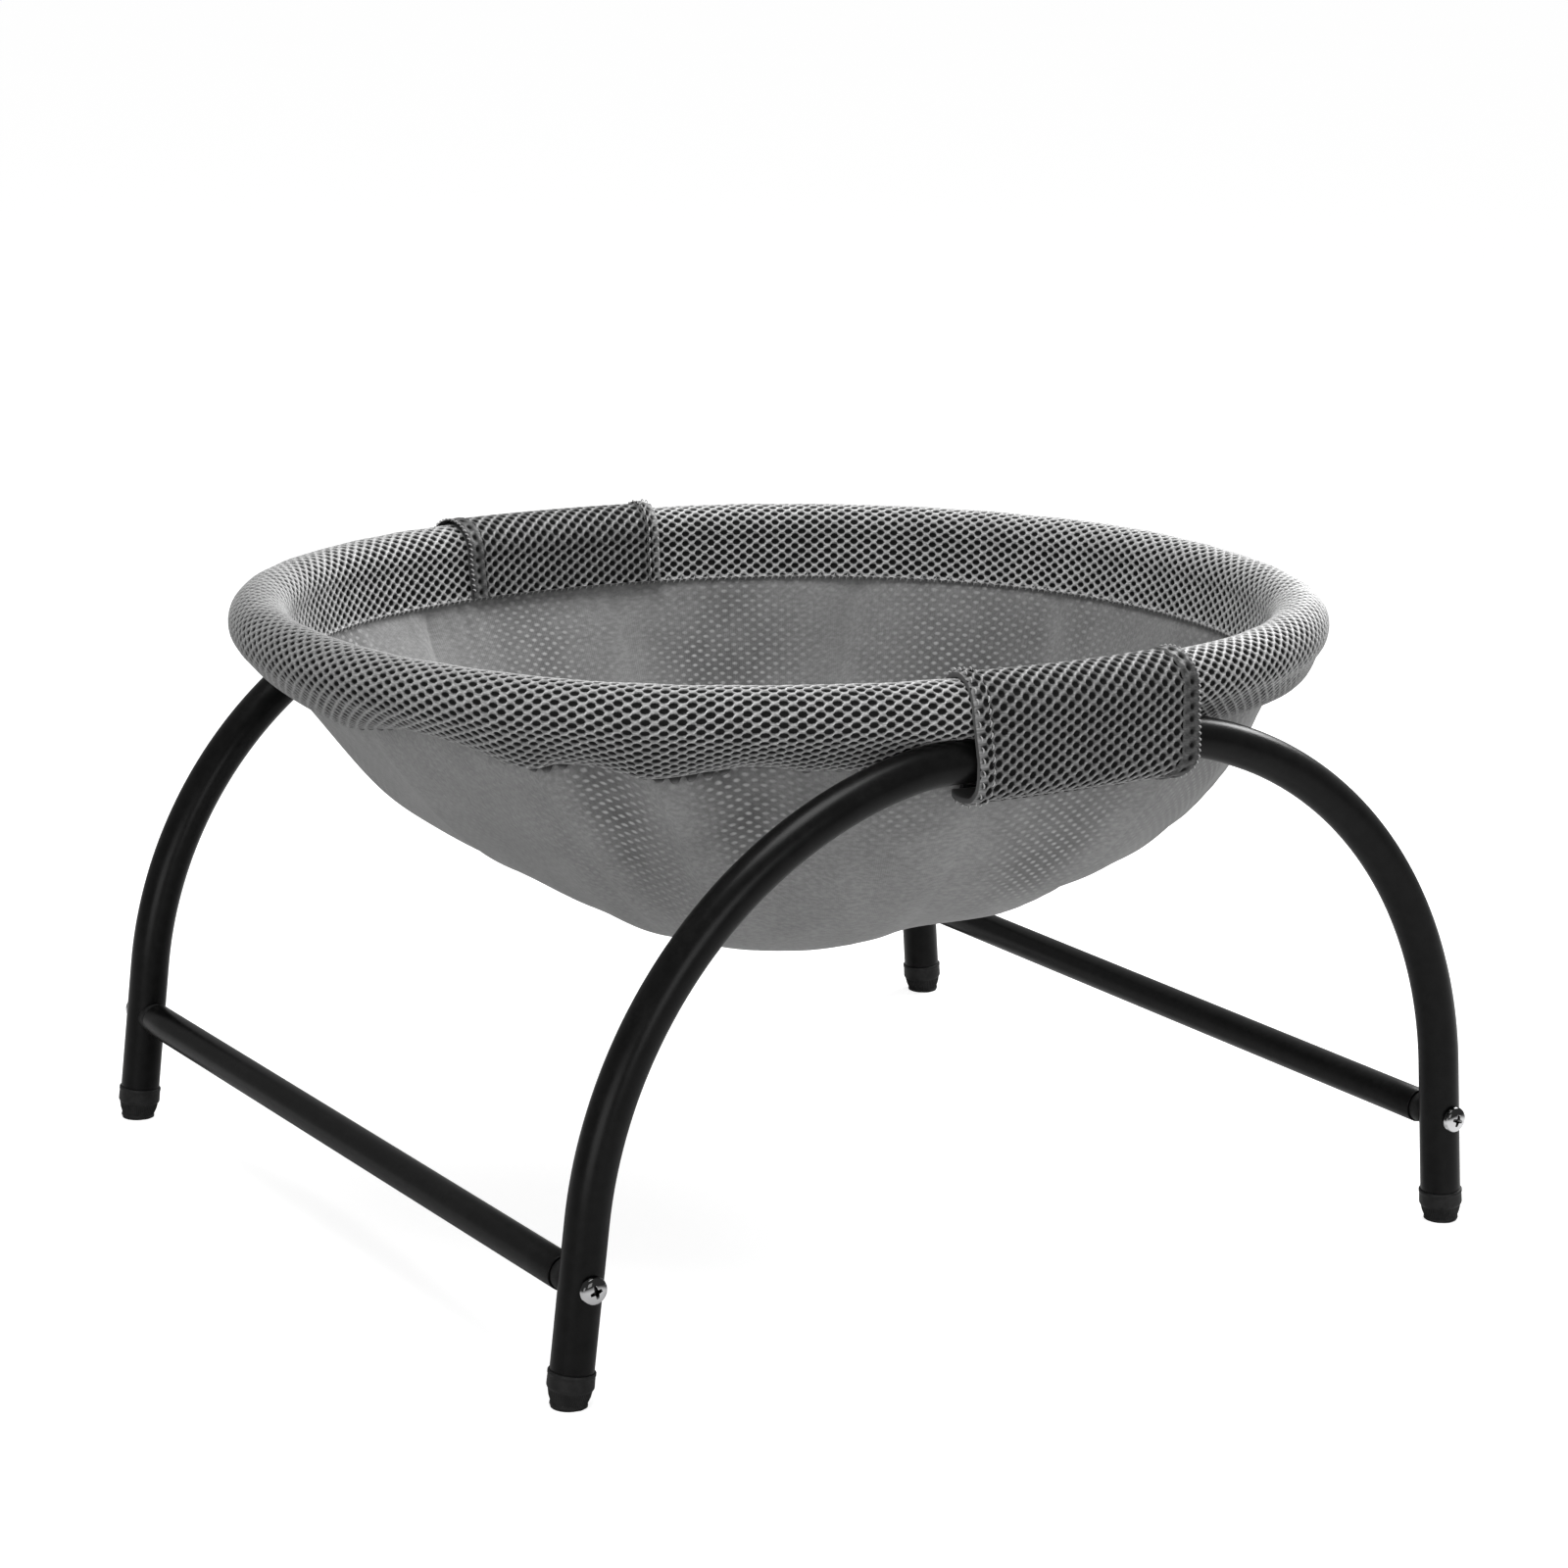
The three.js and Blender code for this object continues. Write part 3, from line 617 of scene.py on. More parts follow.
class Graph:
    """A node tree that is being wired."""

    def __init__(self, tree: bpy.types.NodeTree) -> None:
        """Works on a tree."""
        self.tree = tree

    def node(self, kind: str, **settings: object) -> bpy.types.Node:
        """Adds a node.

        Args:
            kind: Its type.
            settings: Its plain settings.

        Returns:
            The node.
        """
        node = self.tree.nodes.new(kind)
        for name, value in settings.items():
            setattr(node, name, value)
        return node

    def put(self, socket: Socket, value: object) -> None:
        """Links a socket to another one, or sets it.

        Args:
            socket: The input socket.
            value: The socket that feeds it, or its value.
        """
        if isinstance(value, Socket):
            self.tree.links.new(value, socket)
        else:
            socket.default_value = value

    def fill(self, node: bpy.types.Node, **values: object) -> bpy.types.Node:
        """Links or sets inputs of a node.

        Args:
            node: The node.
            values: What each input gets, by its name with _ for a space.

        Returns:
            The node.
        """
        for name, value in values.items():
            self.put(node.inputs[name.replace("_", " ")], value)
        return node

    def object_place(self) -> Socket:
        """Where a point is on its piece, in metres."""
        return self.node("ShaderNodeTexCoord").outputs["Object"]

    def parts(self, vector: object) -> Sequence[Socket]:
        """The three parts of a vector."""
        return self.fill(self.node("ShaderNodeSeparateXYZ"), Vector=vector).outputs

    def up(self) -> Socket:
        """How far the surface faces up, from -1 to 1."""
        return self.parts(self.node("ShaderNodeNewGeometry").outputs["Normal"])["Z"]

    def scaled(self, colour: object, by: object) -> Socket:
        """A colour made lighter or darker.

        Args:
            colour: The colour.
            by: How many times as light it gets.

        Returns:
            The new colour.
        """
        node = self.node("ShaderNodeVectorMath", operation="SCALE")
        self.put(node.inputs[0], colour)
        return self.fill(node, Scale=by).outputs[0]

    def math(self, operation: str, *inputs: object, clamp: bool = False) -> Socket:
        """A sum, product or other function of numbers.

        Args:
            operation: Which function.
            inputs: Its numbers or sockets.
            clamp: Whether the result is kept from 0 to 1.

        Returns:
            The result.
        """
        node = self.node("ShaderNodeMath", operation=operation, use_clamp=clamp)
        for socket, value in zip(node.inputs, inputs):
            self.put(socket, value)
        return node.outputs[0]

    def times(self, first: object, second: object, clamp: bool = False) -> Socket:
        """The product of two numbers."""
        return self.math("MULTIPLY", first, second, clamp=clamp)

    def range(
        self, value: object, low: float, high: float, start: object = 0.0, end: object = 1.0
    ) -> Socket:
        """A value carried smoothly from one range to another.

        Args:
            value: The number or socket to carry.
            low: Where the range starts.
            high: Where it ends.
            start: What low becomes.
            end: What high becomes.

        Returns:
            The carried value.
        """
        node = self.node("ShaderNodeMapRange", interpolation_type="SMOOTHSTEP")
        for socket, given in zip(node.inputs, (value, low, high, start, end)):
            self.put(socket, given)
        return node.outputs[0]

    def mix(self, share: object, first: object, second: object) -> Socket:
        """A mix of two colours.

        Args:
            share: How much of the second colour there is.
            first: The first colour.
            second: The second colour.

        Returns:
            The mixed colour.
        """
        node = self.node("ShaderNodeMix", data_type="RGBA")
        self.put(node.inputs["Factor"], share)
        colours = [socket for socket in node.inputs if socket.type == "RGBA"]
        self.put(colours[0], first)
        self.put(colours[1], second)
        return next(socket for socket in node.outputs if socket.type == "RGBA")

    def noise(self, vector: object, scale: object, detail: float = 2.0, rough: float = 0.5) -> Socket:
        """An even noise from 0 to 1.

        Args:
            vector: Where it is read.
            scale: How fine it is, in waves a metre.
            detail: How many finer layers are added.
            rough: How strong those are.

        Returns:
            The noise's value.
        """
        node = self.node("ShaderNodeTexNoise")
        return self.fill(node, Vector=vector, Scale=scale, Detail=detail, Roughness=rough).outputs["Fac"]

    def value_of(self, name: str, output: str = "Fac") -> Socket:
        """A value kept in the mesh's corners."""
        return self.node("ShaderNodeAttribute", attribute_name=name).outputs[output]

    def bump(self, height: object, distance: float) -> Socket:
        """A surface normal tilted by a height, at a distance in metres for a height of 1."""
        node = self.node("ShaderNodeBump")
        return self.fill(node, Strength=1.0, Distance=distance, Height=height).outputs["Normal"]


def effect(
    name: str,
    inputs: dict[str, float],
    outputs: Sequence[str],
    wire: Callable[[Graph, Sockets], Sockets],
) -> bpy.types.NodeTree:
    """Builds a shader node group, which takes a vector and some numbers and gives numbers.

    Args:
        name: The group's name.
        inputs: Each number's name and its usual value.
        outputs: The outputs' names.
        wire: Wires the inside, from the input sockets to the output ones.

    Returns:
        The group.
    """
    tree = bpy.data.node_groups.new(name, "ShaderNodeTree")
    tree.interface.new_socket("Vector", in_out="INPUT", socket_type="NodeSocketVector")
    for title, value in inputs.items():
        socket = tree.interface.new_socket(title, in_out="INPUT", socket_type="NodeSocketFloat")
        socket.default_value = value
    for title in outputs:
        tree.interface.new_socket(title, in_out="OUTPUT", socket_type="NodeSocketFloat")
    graph = Graph(tree)
    entry = graph.node("NodeGroupInput")
    found = wire(graph, {title: entry.outputs[title] for title in ("Vector", *inputs)})
    graph.fill(graph.node("NodeGroupOutput"), **found)
    return tree


class Effects:
    """The shared effects, each built once and placed in the materials that use it."""

    def __init__(self) -> None:
        """Builds every group."""
        self.grain = effect("FineGrain", {"Scale": 900.0, "Depth": 1.0}, ("Height", "Tone"), self._grain)
        self.dust = effect("SettledDust", {"Scale": 30.0, "Amount": 0.2}, ("Mask",), self._dust)
        self.yarn = effect("YarnFibre", {"Pitch": 0.0009, "Depth": 1.0}, ("Height", "Tone"), self._yarn)
        self.strands = effect("StrandSlant", {"Pitch": 0.0073, "HalfRow": 0.0026}, ("Slant",), self._strands)
        sizes = {"Across": 0.004, "Along": 0.0028, "Fade": 0.5}
        self.weave = effect("RaisedWeave", sizes, ("Height", "Mask", "Ground"), self._weave)

    @staticmethod
    def _grain(graph: Graph, given: Sockets) -> Sockets:
        """Fine even grain of a coat or a moulding.

        Args:
            graph: The group's graph.
            given: Its inputs.

        Returns:
            Its outputs.
        """
        fine = graph.noise(given["Vector"], given["Scale"], 3.0, 0.55)
        coarse = graph.noise(given["Vector"], graph.times(given["Scale"], 0.13), 2.0)
        height = graph.times(graph.math("ADD", fine, coarse), given["Depth"])
        return {"Height": height, "Tone": coarse}

    @staticmethod
    def _dust(graph: Graph, given: Sockets) -> Sockets:
        """Thin dust that has settled on what faces up.

        Args:
            graph: The group's graph.
            given: Its inputs.

        Returns:
            Its outputs.
        """
        cloud = graph.noise(given["Vector"], given["Scale"], 4.0, 0.6)
        speck = graph.noise(given["Vector"], graph.times(given["Scale"], 22.0), 2.0)
        up = graph.range(graph.up(), -0.2, 1.0)
        patch = graph.range(cloud, 0.35, 0.75)
        mask = graph.times(graph.times(up, patch), graph.range(speck, 0.3, 0.8))
        return {"Mask": graph.times(mask, given["Amount"], clamp=True)}

    @staticmethod
    def _yarn(graph: Graph, given: Sockets) -> Sockets:
        """Fine fibres of a yarn, at a pitch in metres.

        Args:
            graph: The group's graph.
            given: Its inputs.

        Returns:
            Its outputs.
        """
        scale = graph.math("DIVIDE", 1.0, given["Pitch"])
        skirt_shade_tone = graph.node("ShaderNodeMapping")
        graph.fill(skirt_shade_tone, Vector=given["Vector"], Scale=(0.3, 1.0, 0.6))
        fibre = graph.noise(skirt_shade_tone.outputs[0], scale, 2.0, 0.6)
        slow = graph.noise(given["Vector"], graph.times(scale, 0.03), 3.0, 0.6)
        return {"Height": graph.times(fibre, given["Depth"]), "Tone": slow}

    @staticmethod
    def _strands(graph: Graph, given: Sockets) -> Sockets:
        """1 on the knit's strands that slant one way and -1 on those that slant the other.

        Args:
            graph: The group's graph.
            given: Its inputs.

        Returns:
            Its outputs.
        """
        parts = graph.parts(given["Vector"])
        x = graph.math("DIVIDE", parts["X"], given["Pitch"])
        y = graph.math("DIVIDE", parts["Y"], graph.times(given["HalfRow"], 2.0))
        waves = [
            graph.math("COSINE", graph.times(graph.math(kind, x, y), FULL_TURN))
            for kind in ("SUBTRACT", "ADD")
        ]
        return {"Slant": graph.times(graph.math("SUBTRACT", *waves), 0.5)}

    @staticmethod
    def _weave(graph: Graph, given: Sockets) -> Sockets:
        """Rows of small raised ovals, set half a pitch apart, on a close ground weave.

        Args:
            graph: The group's graph.
            given: Its inputs.

        Returns:
            Its outputs.
        """
        parts = graph.parts(given["Vector"])
        wander = graph.noise(given["Vector"], 30.0, 2.0)
        x = graph.math("DIVIDE", parts["X"], given["Across"])
        y = graph.math("DIVIDE", parts["Y"], given["Along"])
        y = graph.math("ADD", y, graph.times(wander, 0.8))
        row = graph.math("FLOOR", y)
        shift = graph.times(graph.math("FLOORED_MODULO", row, 2.0), 0.5)
        in_x = graph.math("SUBTRACT", graph.math("FRACT", graph.math("ADD", x, shift)), 0.5)
        in_y = graph.math("SUBTRACT", graph.math("FRACT", y), 0.5)
        wide = graph.math("POWER", graph.times(in_x, 3.6), 2.0)
        tall = graph.math("POWER", graph.times(in_y, 2.0), 2.0)
        far = graph.math("SQRT", graph.math("ADD", wide, tall))
        oval = graph.range(far, 1.0, 0.25)
        strength = graph.range(graph.noise(given["Vector"], 21.0, 3.0, 0.6), 0.3, 0.7, 0.45, 1.0)
        strength = graph.times(strength, given["Fade"])
        mask = graph.times(oval, strength)
        ground = graph.node("ShaderNodeTexWave", wave_type="BANDS", bands_direction="X")
        graph.fill(ground, Vector=given["Vector"], Scale=260.0, Distortion=1.5)
        height = graph.math("ADD", mask, graph.times(ground.outputs["Fac"], 0.12))
        return {"Height": height, "Mask": mask, "Ground": strength}


@dataclass(frozen=True)
class Finish:
    """What every finish has: a name, its main colour and how rough it is."""

    name: str
    colour: Colour
    roughness: float

    def material(self, effects: Effects) -> bpy.types.Material:
        """Builds the material.

        Args:
            effects: The shared effects.

        Returns:
            The material, its Principled BSDF wired.
        """
        material = bpy.data.materials.new(self.name)
        material.use_nodes = True
        material.diffuse_color = opaque(self.colour)
        graph = Graph(material.node_tree)
        shader = material.node_tree.nodes["Principled BSDF"]
        graph.fill(shader, Base_Color=opaque(self.colour), Roughness=self.roughness)
        self.wire(graph, shader, effects)
        return material

    def wire(self, graph: Graph, shader: bpy.types.Node, effects: Effects) -> None:
        """Adds what the finish shows beyond its plain colour."""
        raise NotImplementedError

    @staticmethod
    def place(graph: Graph, tree: bpy.types.NodeTree, **inputs: object) -> Sockets:
        """Places a shared effect with its own values."""
        return graph.fill(graph.node("ShaderNodeGroup", node_tree=tree), **inputs).outputs


@dataclass(frozen=True)
class HardFinish(Finish):
    """Coated, plated or moulded finish with a fine grain, thin wear and dust."""

    metallic: float = 0.0
    specular: float = 0.5
    coat: float = 0.0
    grain_scale: float = 1400.0
    grain_depth: float = 0.00003
    wear: float = 0.03
    dust: float = 0.12
    dust_scale: float = 26.0
    dust_colour: Colour = (0.30, 0.30, 0.29)
    # How dark the painted reflection of a dark surround makes the faces that look up; above 0 it also paints
    # shade into the hollows.
    top_shade: float = 0.0
    shade_colour: Colour = (0.012, 0.012, 0.012)

    def wire(self, graph: Graph, shader: bpy.types.Node, effects: Effects) -> None:
        """Adds grain, slight changes of colour and gloss, and settled dust.

        Args:
            graph: The material's graph.
            shader: Its Principled BSDF.
            effects: The shared effects.
        """
        place = graph.object_place()
        grain = self.place(graph, effects.grain, Vector=place, Scale=self.grain_scale, Depth=1.0)
        dust = self.place(graph, effects.dust, Vector=place, Scale=self.dust_scale, Amount=self.dust)["Mask"]
        paler = tuple(min(1.0, part * (1 + 6 * self.wear) + self.wear * 0.2) for part in self.colour)
        toned = graph.mix(graph.range(grain["Tone"], 0.3, 0.7), opaque(self.colour), opaque(paler))
        # Painted shade: plating that faces up is darkened as if it mirrored a dark surround, and the hollows
        # are darkened where shade falls.
        if self.top_shade:
            toned = self._shaded(graph, toned)
        sharp, dull = self.roughness - self.wear, self.roughness + self.wear
        gloss = graph.range(grain["Tone"], 0.25, 0.75, sharp, dull)
        graph.fill(
            shader,
            Base_Color=graph.mix(dust, toned, opaque(self.dust_colour)),
            Roughness=graph.math("ADD", gloss, dust, clamp=True),
            Normal=graph.bump(grain["Height"], self.grain_depth),
            Metallic=self.metallic,
            Specular_IOR_Level=self.specular,
            Coat_Weight=self.coat,
            Coat_Roughness=0.25,
        )

    def _shaded(self, graph: Graph, toned: Socket) -> Socket:
        """The colour with painted shade: a painted reflection of a dark surround where the plating faces up,
        and painted shade in the hollows.

        Args:
            graph: The material's graph.
            toned: The colour so far.

        Returns:
            The shaded colour.
        """
        up = graph.range(graph.up(), 0.0, 0.2, 0.0, self.top_shade)
        share = graph.math("MAXIMUM", up, graph.range(graph.value_of("hollow"), 0.1, 0.6, 0.0, 0.97))
        return graph.mix(share, toned, opaque(self.shade_colour))


@dataclass(frozen=True)
class KnitFinish(Finish):
    """Open spacer knit: pale strands with painted shade on their flanks and in the pits between them, painted
    light and shade by the strands' slant, and a slight sheen.
    """

    pit_colour: Colour = (0.005, 0.005, 0.005)
    shade_colour: Colour = (0.24, 0.24, 0.24)
    fibre_pitch: float = 0.0007
    fibre_depth: float = 0.00018
    pitch: float = KNIT_PITCH
    half_row: float = RIM_HALF_ROW
    # How strongly strands of one slant get painted light and those of the other painted shade; the sign picks
    # which.
    slant: float = 0.45
    sheen: float = 0.25

    def wire(self, graph: Graph, shader: bpy.types.Node, effects: Effects) -> None:
        """Paints shade into the pits and down the strands' flanks, paints light on the strands of one slant
        and shade on the other, and adds the yarn's fibres.

        Args:
            graph: The material's graph.
            shader: Its Principled BSDF.
            effects: The shared effects.
        """
        cloth = graph.value_of("cloth", "Vector")
        pit = graph.value_of("pit")
        yarn = self.place(graph, effects.yarn, Vector=cloth, Pitch=self.fibre_pitch, Depth=1.0)
        # Painted light on the strands that slant one way and painted shade on those that slant the other.
        slant_shading = self.place(graph, effects.strands, Vector=cloth, Pitch=self.pitch, HalfRow=self.half_row)
        # The tone carries painted shade: on the rim's skirts and left side, and in the wrap's grooves beside
        # the hems.
        strand = graph.mix(graph.value_of("tone"), opaque(self.shade_colour), opaque(self.colour))
        uneven = graph.range(yarn["Tone"], 0.3, 0.7, 0.93, 1.06)
        brightness = graph.times(uneven, graph.range(yarn["Height"], 0.3, 0.7, 0.62, 1.3))
        calm = graph.range(graph.value_of("calm"), 0.0, 1.0, 1.0, 0.25)
        leaning = graph.times(slant_shading["Slant"], calm)
        slanted = graph.math("MULTIPLY_ADD", leaning, self.slant, 1.0)
        lit = graph.scaled(strand, graph.times(brightness, slanted))
        height = graph.math("MULTIPLY_ADD", leaning, math.copysign(1.2, self.slant), yarn["Height"])
        graph.fill(
            shader,
            # Painted shade: the colour darkens towards the pits' painted shade colour down the strands'
            # flanks and into the pits.
            Base_Color=graph.mix(graph.range(pit, 0.02, 0.62), lit, opaque(self.pit_colour)),
            Roughness=graph.range(pit, 0.1, 0.6, self.roughness, 1.0),
            Normal=graph.bump(height, self.fibre_depth),
            Sheen_Weight=self.sheen,
            Sheen_Roughness=0.5,
            Specular_IOR_Level=0.5,
        )


@dataclass(frozen=True)
class WovenFinish(Finish):
    """Soft cloth with rows of small raised ovals that fade in and out."""

    gap_colour: Colour = (0.10, 0.10, 0.10)
    oval_colour: Colour = (0.56, 0.56, 0.56)
    across: float = OVAL_PITCH
    along: float = 2.6 * MM
    fibre_pitch: float = 0.0011
    relief: float = 0.00035
    sheen: float = 0.3

    def wire(self, graph: Graph, shader: bpy.types.Node, effects: Effects) -> None:
        """Adds the raised ovals, the ground weave and the fibres.

        Args:
            graph: The material's graph.
            shader: Its Principled BSDF.
            effects: The shared effects.
        """
        weave = self.place(
            graph, effects.weave, Vector=graph.value_of("cloth", "Vector"), Across=self.across,
            Along=self.along, Fade=graph.value_of("tone"),
        )
        yarn = self.place(graph, effects.yarn, Vector=graph.object_place(), Pitch=self.fibre_pitch, Depth=1.0)
        ground = graph.mix(weave["Ground"], opaque(self.colour), opaque(self.gap_colour))
        ground = graph.mix(weave["Mask"], ground, opaque(self.oval_colour))
        uneven = graph.range(yarn["Tone"], 0.3, 0.7, 0.92, 1.07)
        brightness = graph.times(uneven, graph.range(yarn["Height"], 0.3, 0.7, 0.86, 1.14))
        height = graph.math("ADD", weave["Height"], graph.times(yarn["Height"], 0.25))
        graph.fill(
            shader,
            Base_Color=graph.scaled(ground, brightness),
            Roughness=graph.range(weave["Mask"], 0.0, 1.0, self.roughness, 0.6),
            Normal=graph.bump(height, self.relief),
            Sheen_Weight=self.sheen,
            Sheen_Roughness=0.55,
            Specular_IOR_Level=0.35,
        )


@dataclass(frozen=True)
class ThreadFinish(Finish):
    """Twisted sewing thread or the pile of a fastening tape."""

    fibre_pitch: float = 0.0004

    def wire(self, graph: Graph, shader: bpy.types.Node, effects: Effects) -> None:
        """Adds the thread's fibres and its uneven colour.

        Args:
            graph: The material's graph.
            shader: Its Principled BSDF.
            effects: The shared effects.
        """
        place = graph.object_place()
        fibre = self.place(graph, effects.yarn, Vector=place, Pitch=self.fibre_pitch, Depth=1.0)["Height"]
        darker = tuple(part * 0.7 for part in self.colour)
        graph.fill(
            shader,
            Base_Color=graph.mix(graph.range(fibre, 0.3, 0.7), opaque(darker), opaque(self.colour)),
            Roughness=graph.range(fibre, 0.2, 0.8, self.roughness, 1.0),
            Normal=graph.bump(fibre, 0.00006),
            Sheen_Weight=0.2,
        )


class Finishes:
    """Every material of the cot, built once."""

    def __init__(self) -> None:
        """Builds the materials."""
        effects = Effects()
        finishes = {
            Slot.FRAME: HardFinish(
                "SatinBlackCoat", (0.002, 0.002, 0.002), 0.30, specular=0.18, wear=0.01, dust=0.03
            ),
            Slot.HOOP: HardFinish("HoopCoat", (0.012, 0.012, 0.0125), 0.45),
            Slot.CHROME: HardFinish(
                "BrightPlate", (0.80, 0.80, 0.81), 0.09, metallic=1.0, grain_scale=700.0,
                # top_shade paints a dark reflection on the heads' tops and shade in their cross recesses.
                grain_depth=0.000006, wear=0.02, dust=0.02, top_shade=0.93,
            ),
            Slot.PLASTIC: HardFinish(
                "MouldedBlack", (0.008, 0.008, 0.008), 0.5, specular=0.2, grain_scale=2600.0, dust=0.05
            ),
            Slot.FOOT: HardFinish(
                "FootBlack", (0.009, 0.009, 0.009), 0.5, specular=0.25, grain_scale=2200.0,
                grain_depth=0.00005, wear=0.03, dust=0.1,
            ),
            # slant sets the painted light and shade on the strands' two slants.
            Slot.RIM: KnitFinish("RimKnit", (0.58, 0.58, 0.58), 0.5, slant=-0.42),
            Slot.WRAP: KnitFinish(
                "WrapKnit", (0.27, 0.27, 0.27), 0.55, shade_colour=(0.05, 0.05, 0.05),
                half_row=WRAP_HALF_ROW, slant=0.55, sheen=0.08,
            ),
            Slot.BOWL: WovenFinish("BowlCloth", (0.28, 0.28, 0.28), 0.85),
            Slot.TAPE: ThreadFinish("TapeBlack", (0.03, 0.031, 0.034), 0.9),
        }
        self._made = {slot: finish.material(effects) for slot, finish in finishes.items()}
        self.seam_thread = ThreadFinish("SeamThread", (0.62, 0.62, 0.62), 0.7).material(effects)

    def dress(self, piece: bpy.types.Object, slot: Slot) -> bpy.types.Object:
        """Gives a piece the finish of a slot."""
        piece.data.materials.append(self._made[slot])
        return piece

    def settle(self, piece: bpy.types.Object, body: str, slot: Slot, *nodes: str) -> bpy.types.Object:
        """Gives a piece the finish of a slot, and settles it on a body."""
        return settle(self.dress(piece, slot), body, slot, *nodes)

    def recoat(self, node: str, slot: Slot) -> None:
        """Puts the finish of a slot in a CAD node's material slots.

        Args:
            node: The node's name.
            slot: The slot.
        """
        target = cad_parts[node]
        for material_slot in target.material_slots:
            material_slot.material = self._made[slot]
        log.info("%s: the solid stays, with %s", node, self._made[slot].name)


@dataclass
class LegArches:
    """The two bent tube arches."""

    finishes: Finishes
    sides: int = 56
    bend_step: float = 3.5 * MM
    straight_step: float = 20 * MM

    def centreline(self) -> tuple[Array, Array]:
        """An arch's centreline.

        Returns:
            Its XZ points, and the headings there.
        """
        points, headings = [], []
        for run in LAYOUT.arch_runs():
            step = self.bend_step if run.turn else self.straight_step
            count = max(2, int(run.length / step) + 1)
            places = np.linspace(0, run.length, count)[1 if points else 0:]
            found, heading = run.at(places)
            points.append(found)
            headings.append(heading)
        return np.concatenate(points), np.concatenate(headings)

    def build(self, end: End) -> bpy.types.Object:
        """Makes one arch, with its wall and its open ends.

        Args:
            end: Which end of the cot it is at.

        Returns:
            The arch.
        """
        flat, heading = self.centreline()
        plane = end.value * LAYOUT.arch_plane
        centres = np.stack([flat[:, 0], np.full(len(flat), plane), flat[:, 1]], -1)
        normal = np.stack([-np.sin(heading), np.zeros_like(heading), np.cos(heading)], -1)
        across = np.tile([0.0, 1.0, 0.0], (len(flat), 1))
        draft = Draft()
        outer = swept_tube(draft, centres, normal, across, LAYOUT.tube_radius, self.sides)
        bore = LAYOUT.tube_radius - LAYOUT.tube_wall
        inner = swept_tube(draft, centres, normal, across, bore, self.sides, flip=True)
        draft.bridge(inner[0], outer[0], ring=True)
        draft.bridge(inner[-1], outer[-1], ring=True, flip=True)
        piece = draft.build(f"{end.title}_leg_arch", math.radians(40))
        return self.finishes.settle(piece, "cot", Slot.FRAME, f"{end.title}_arch")


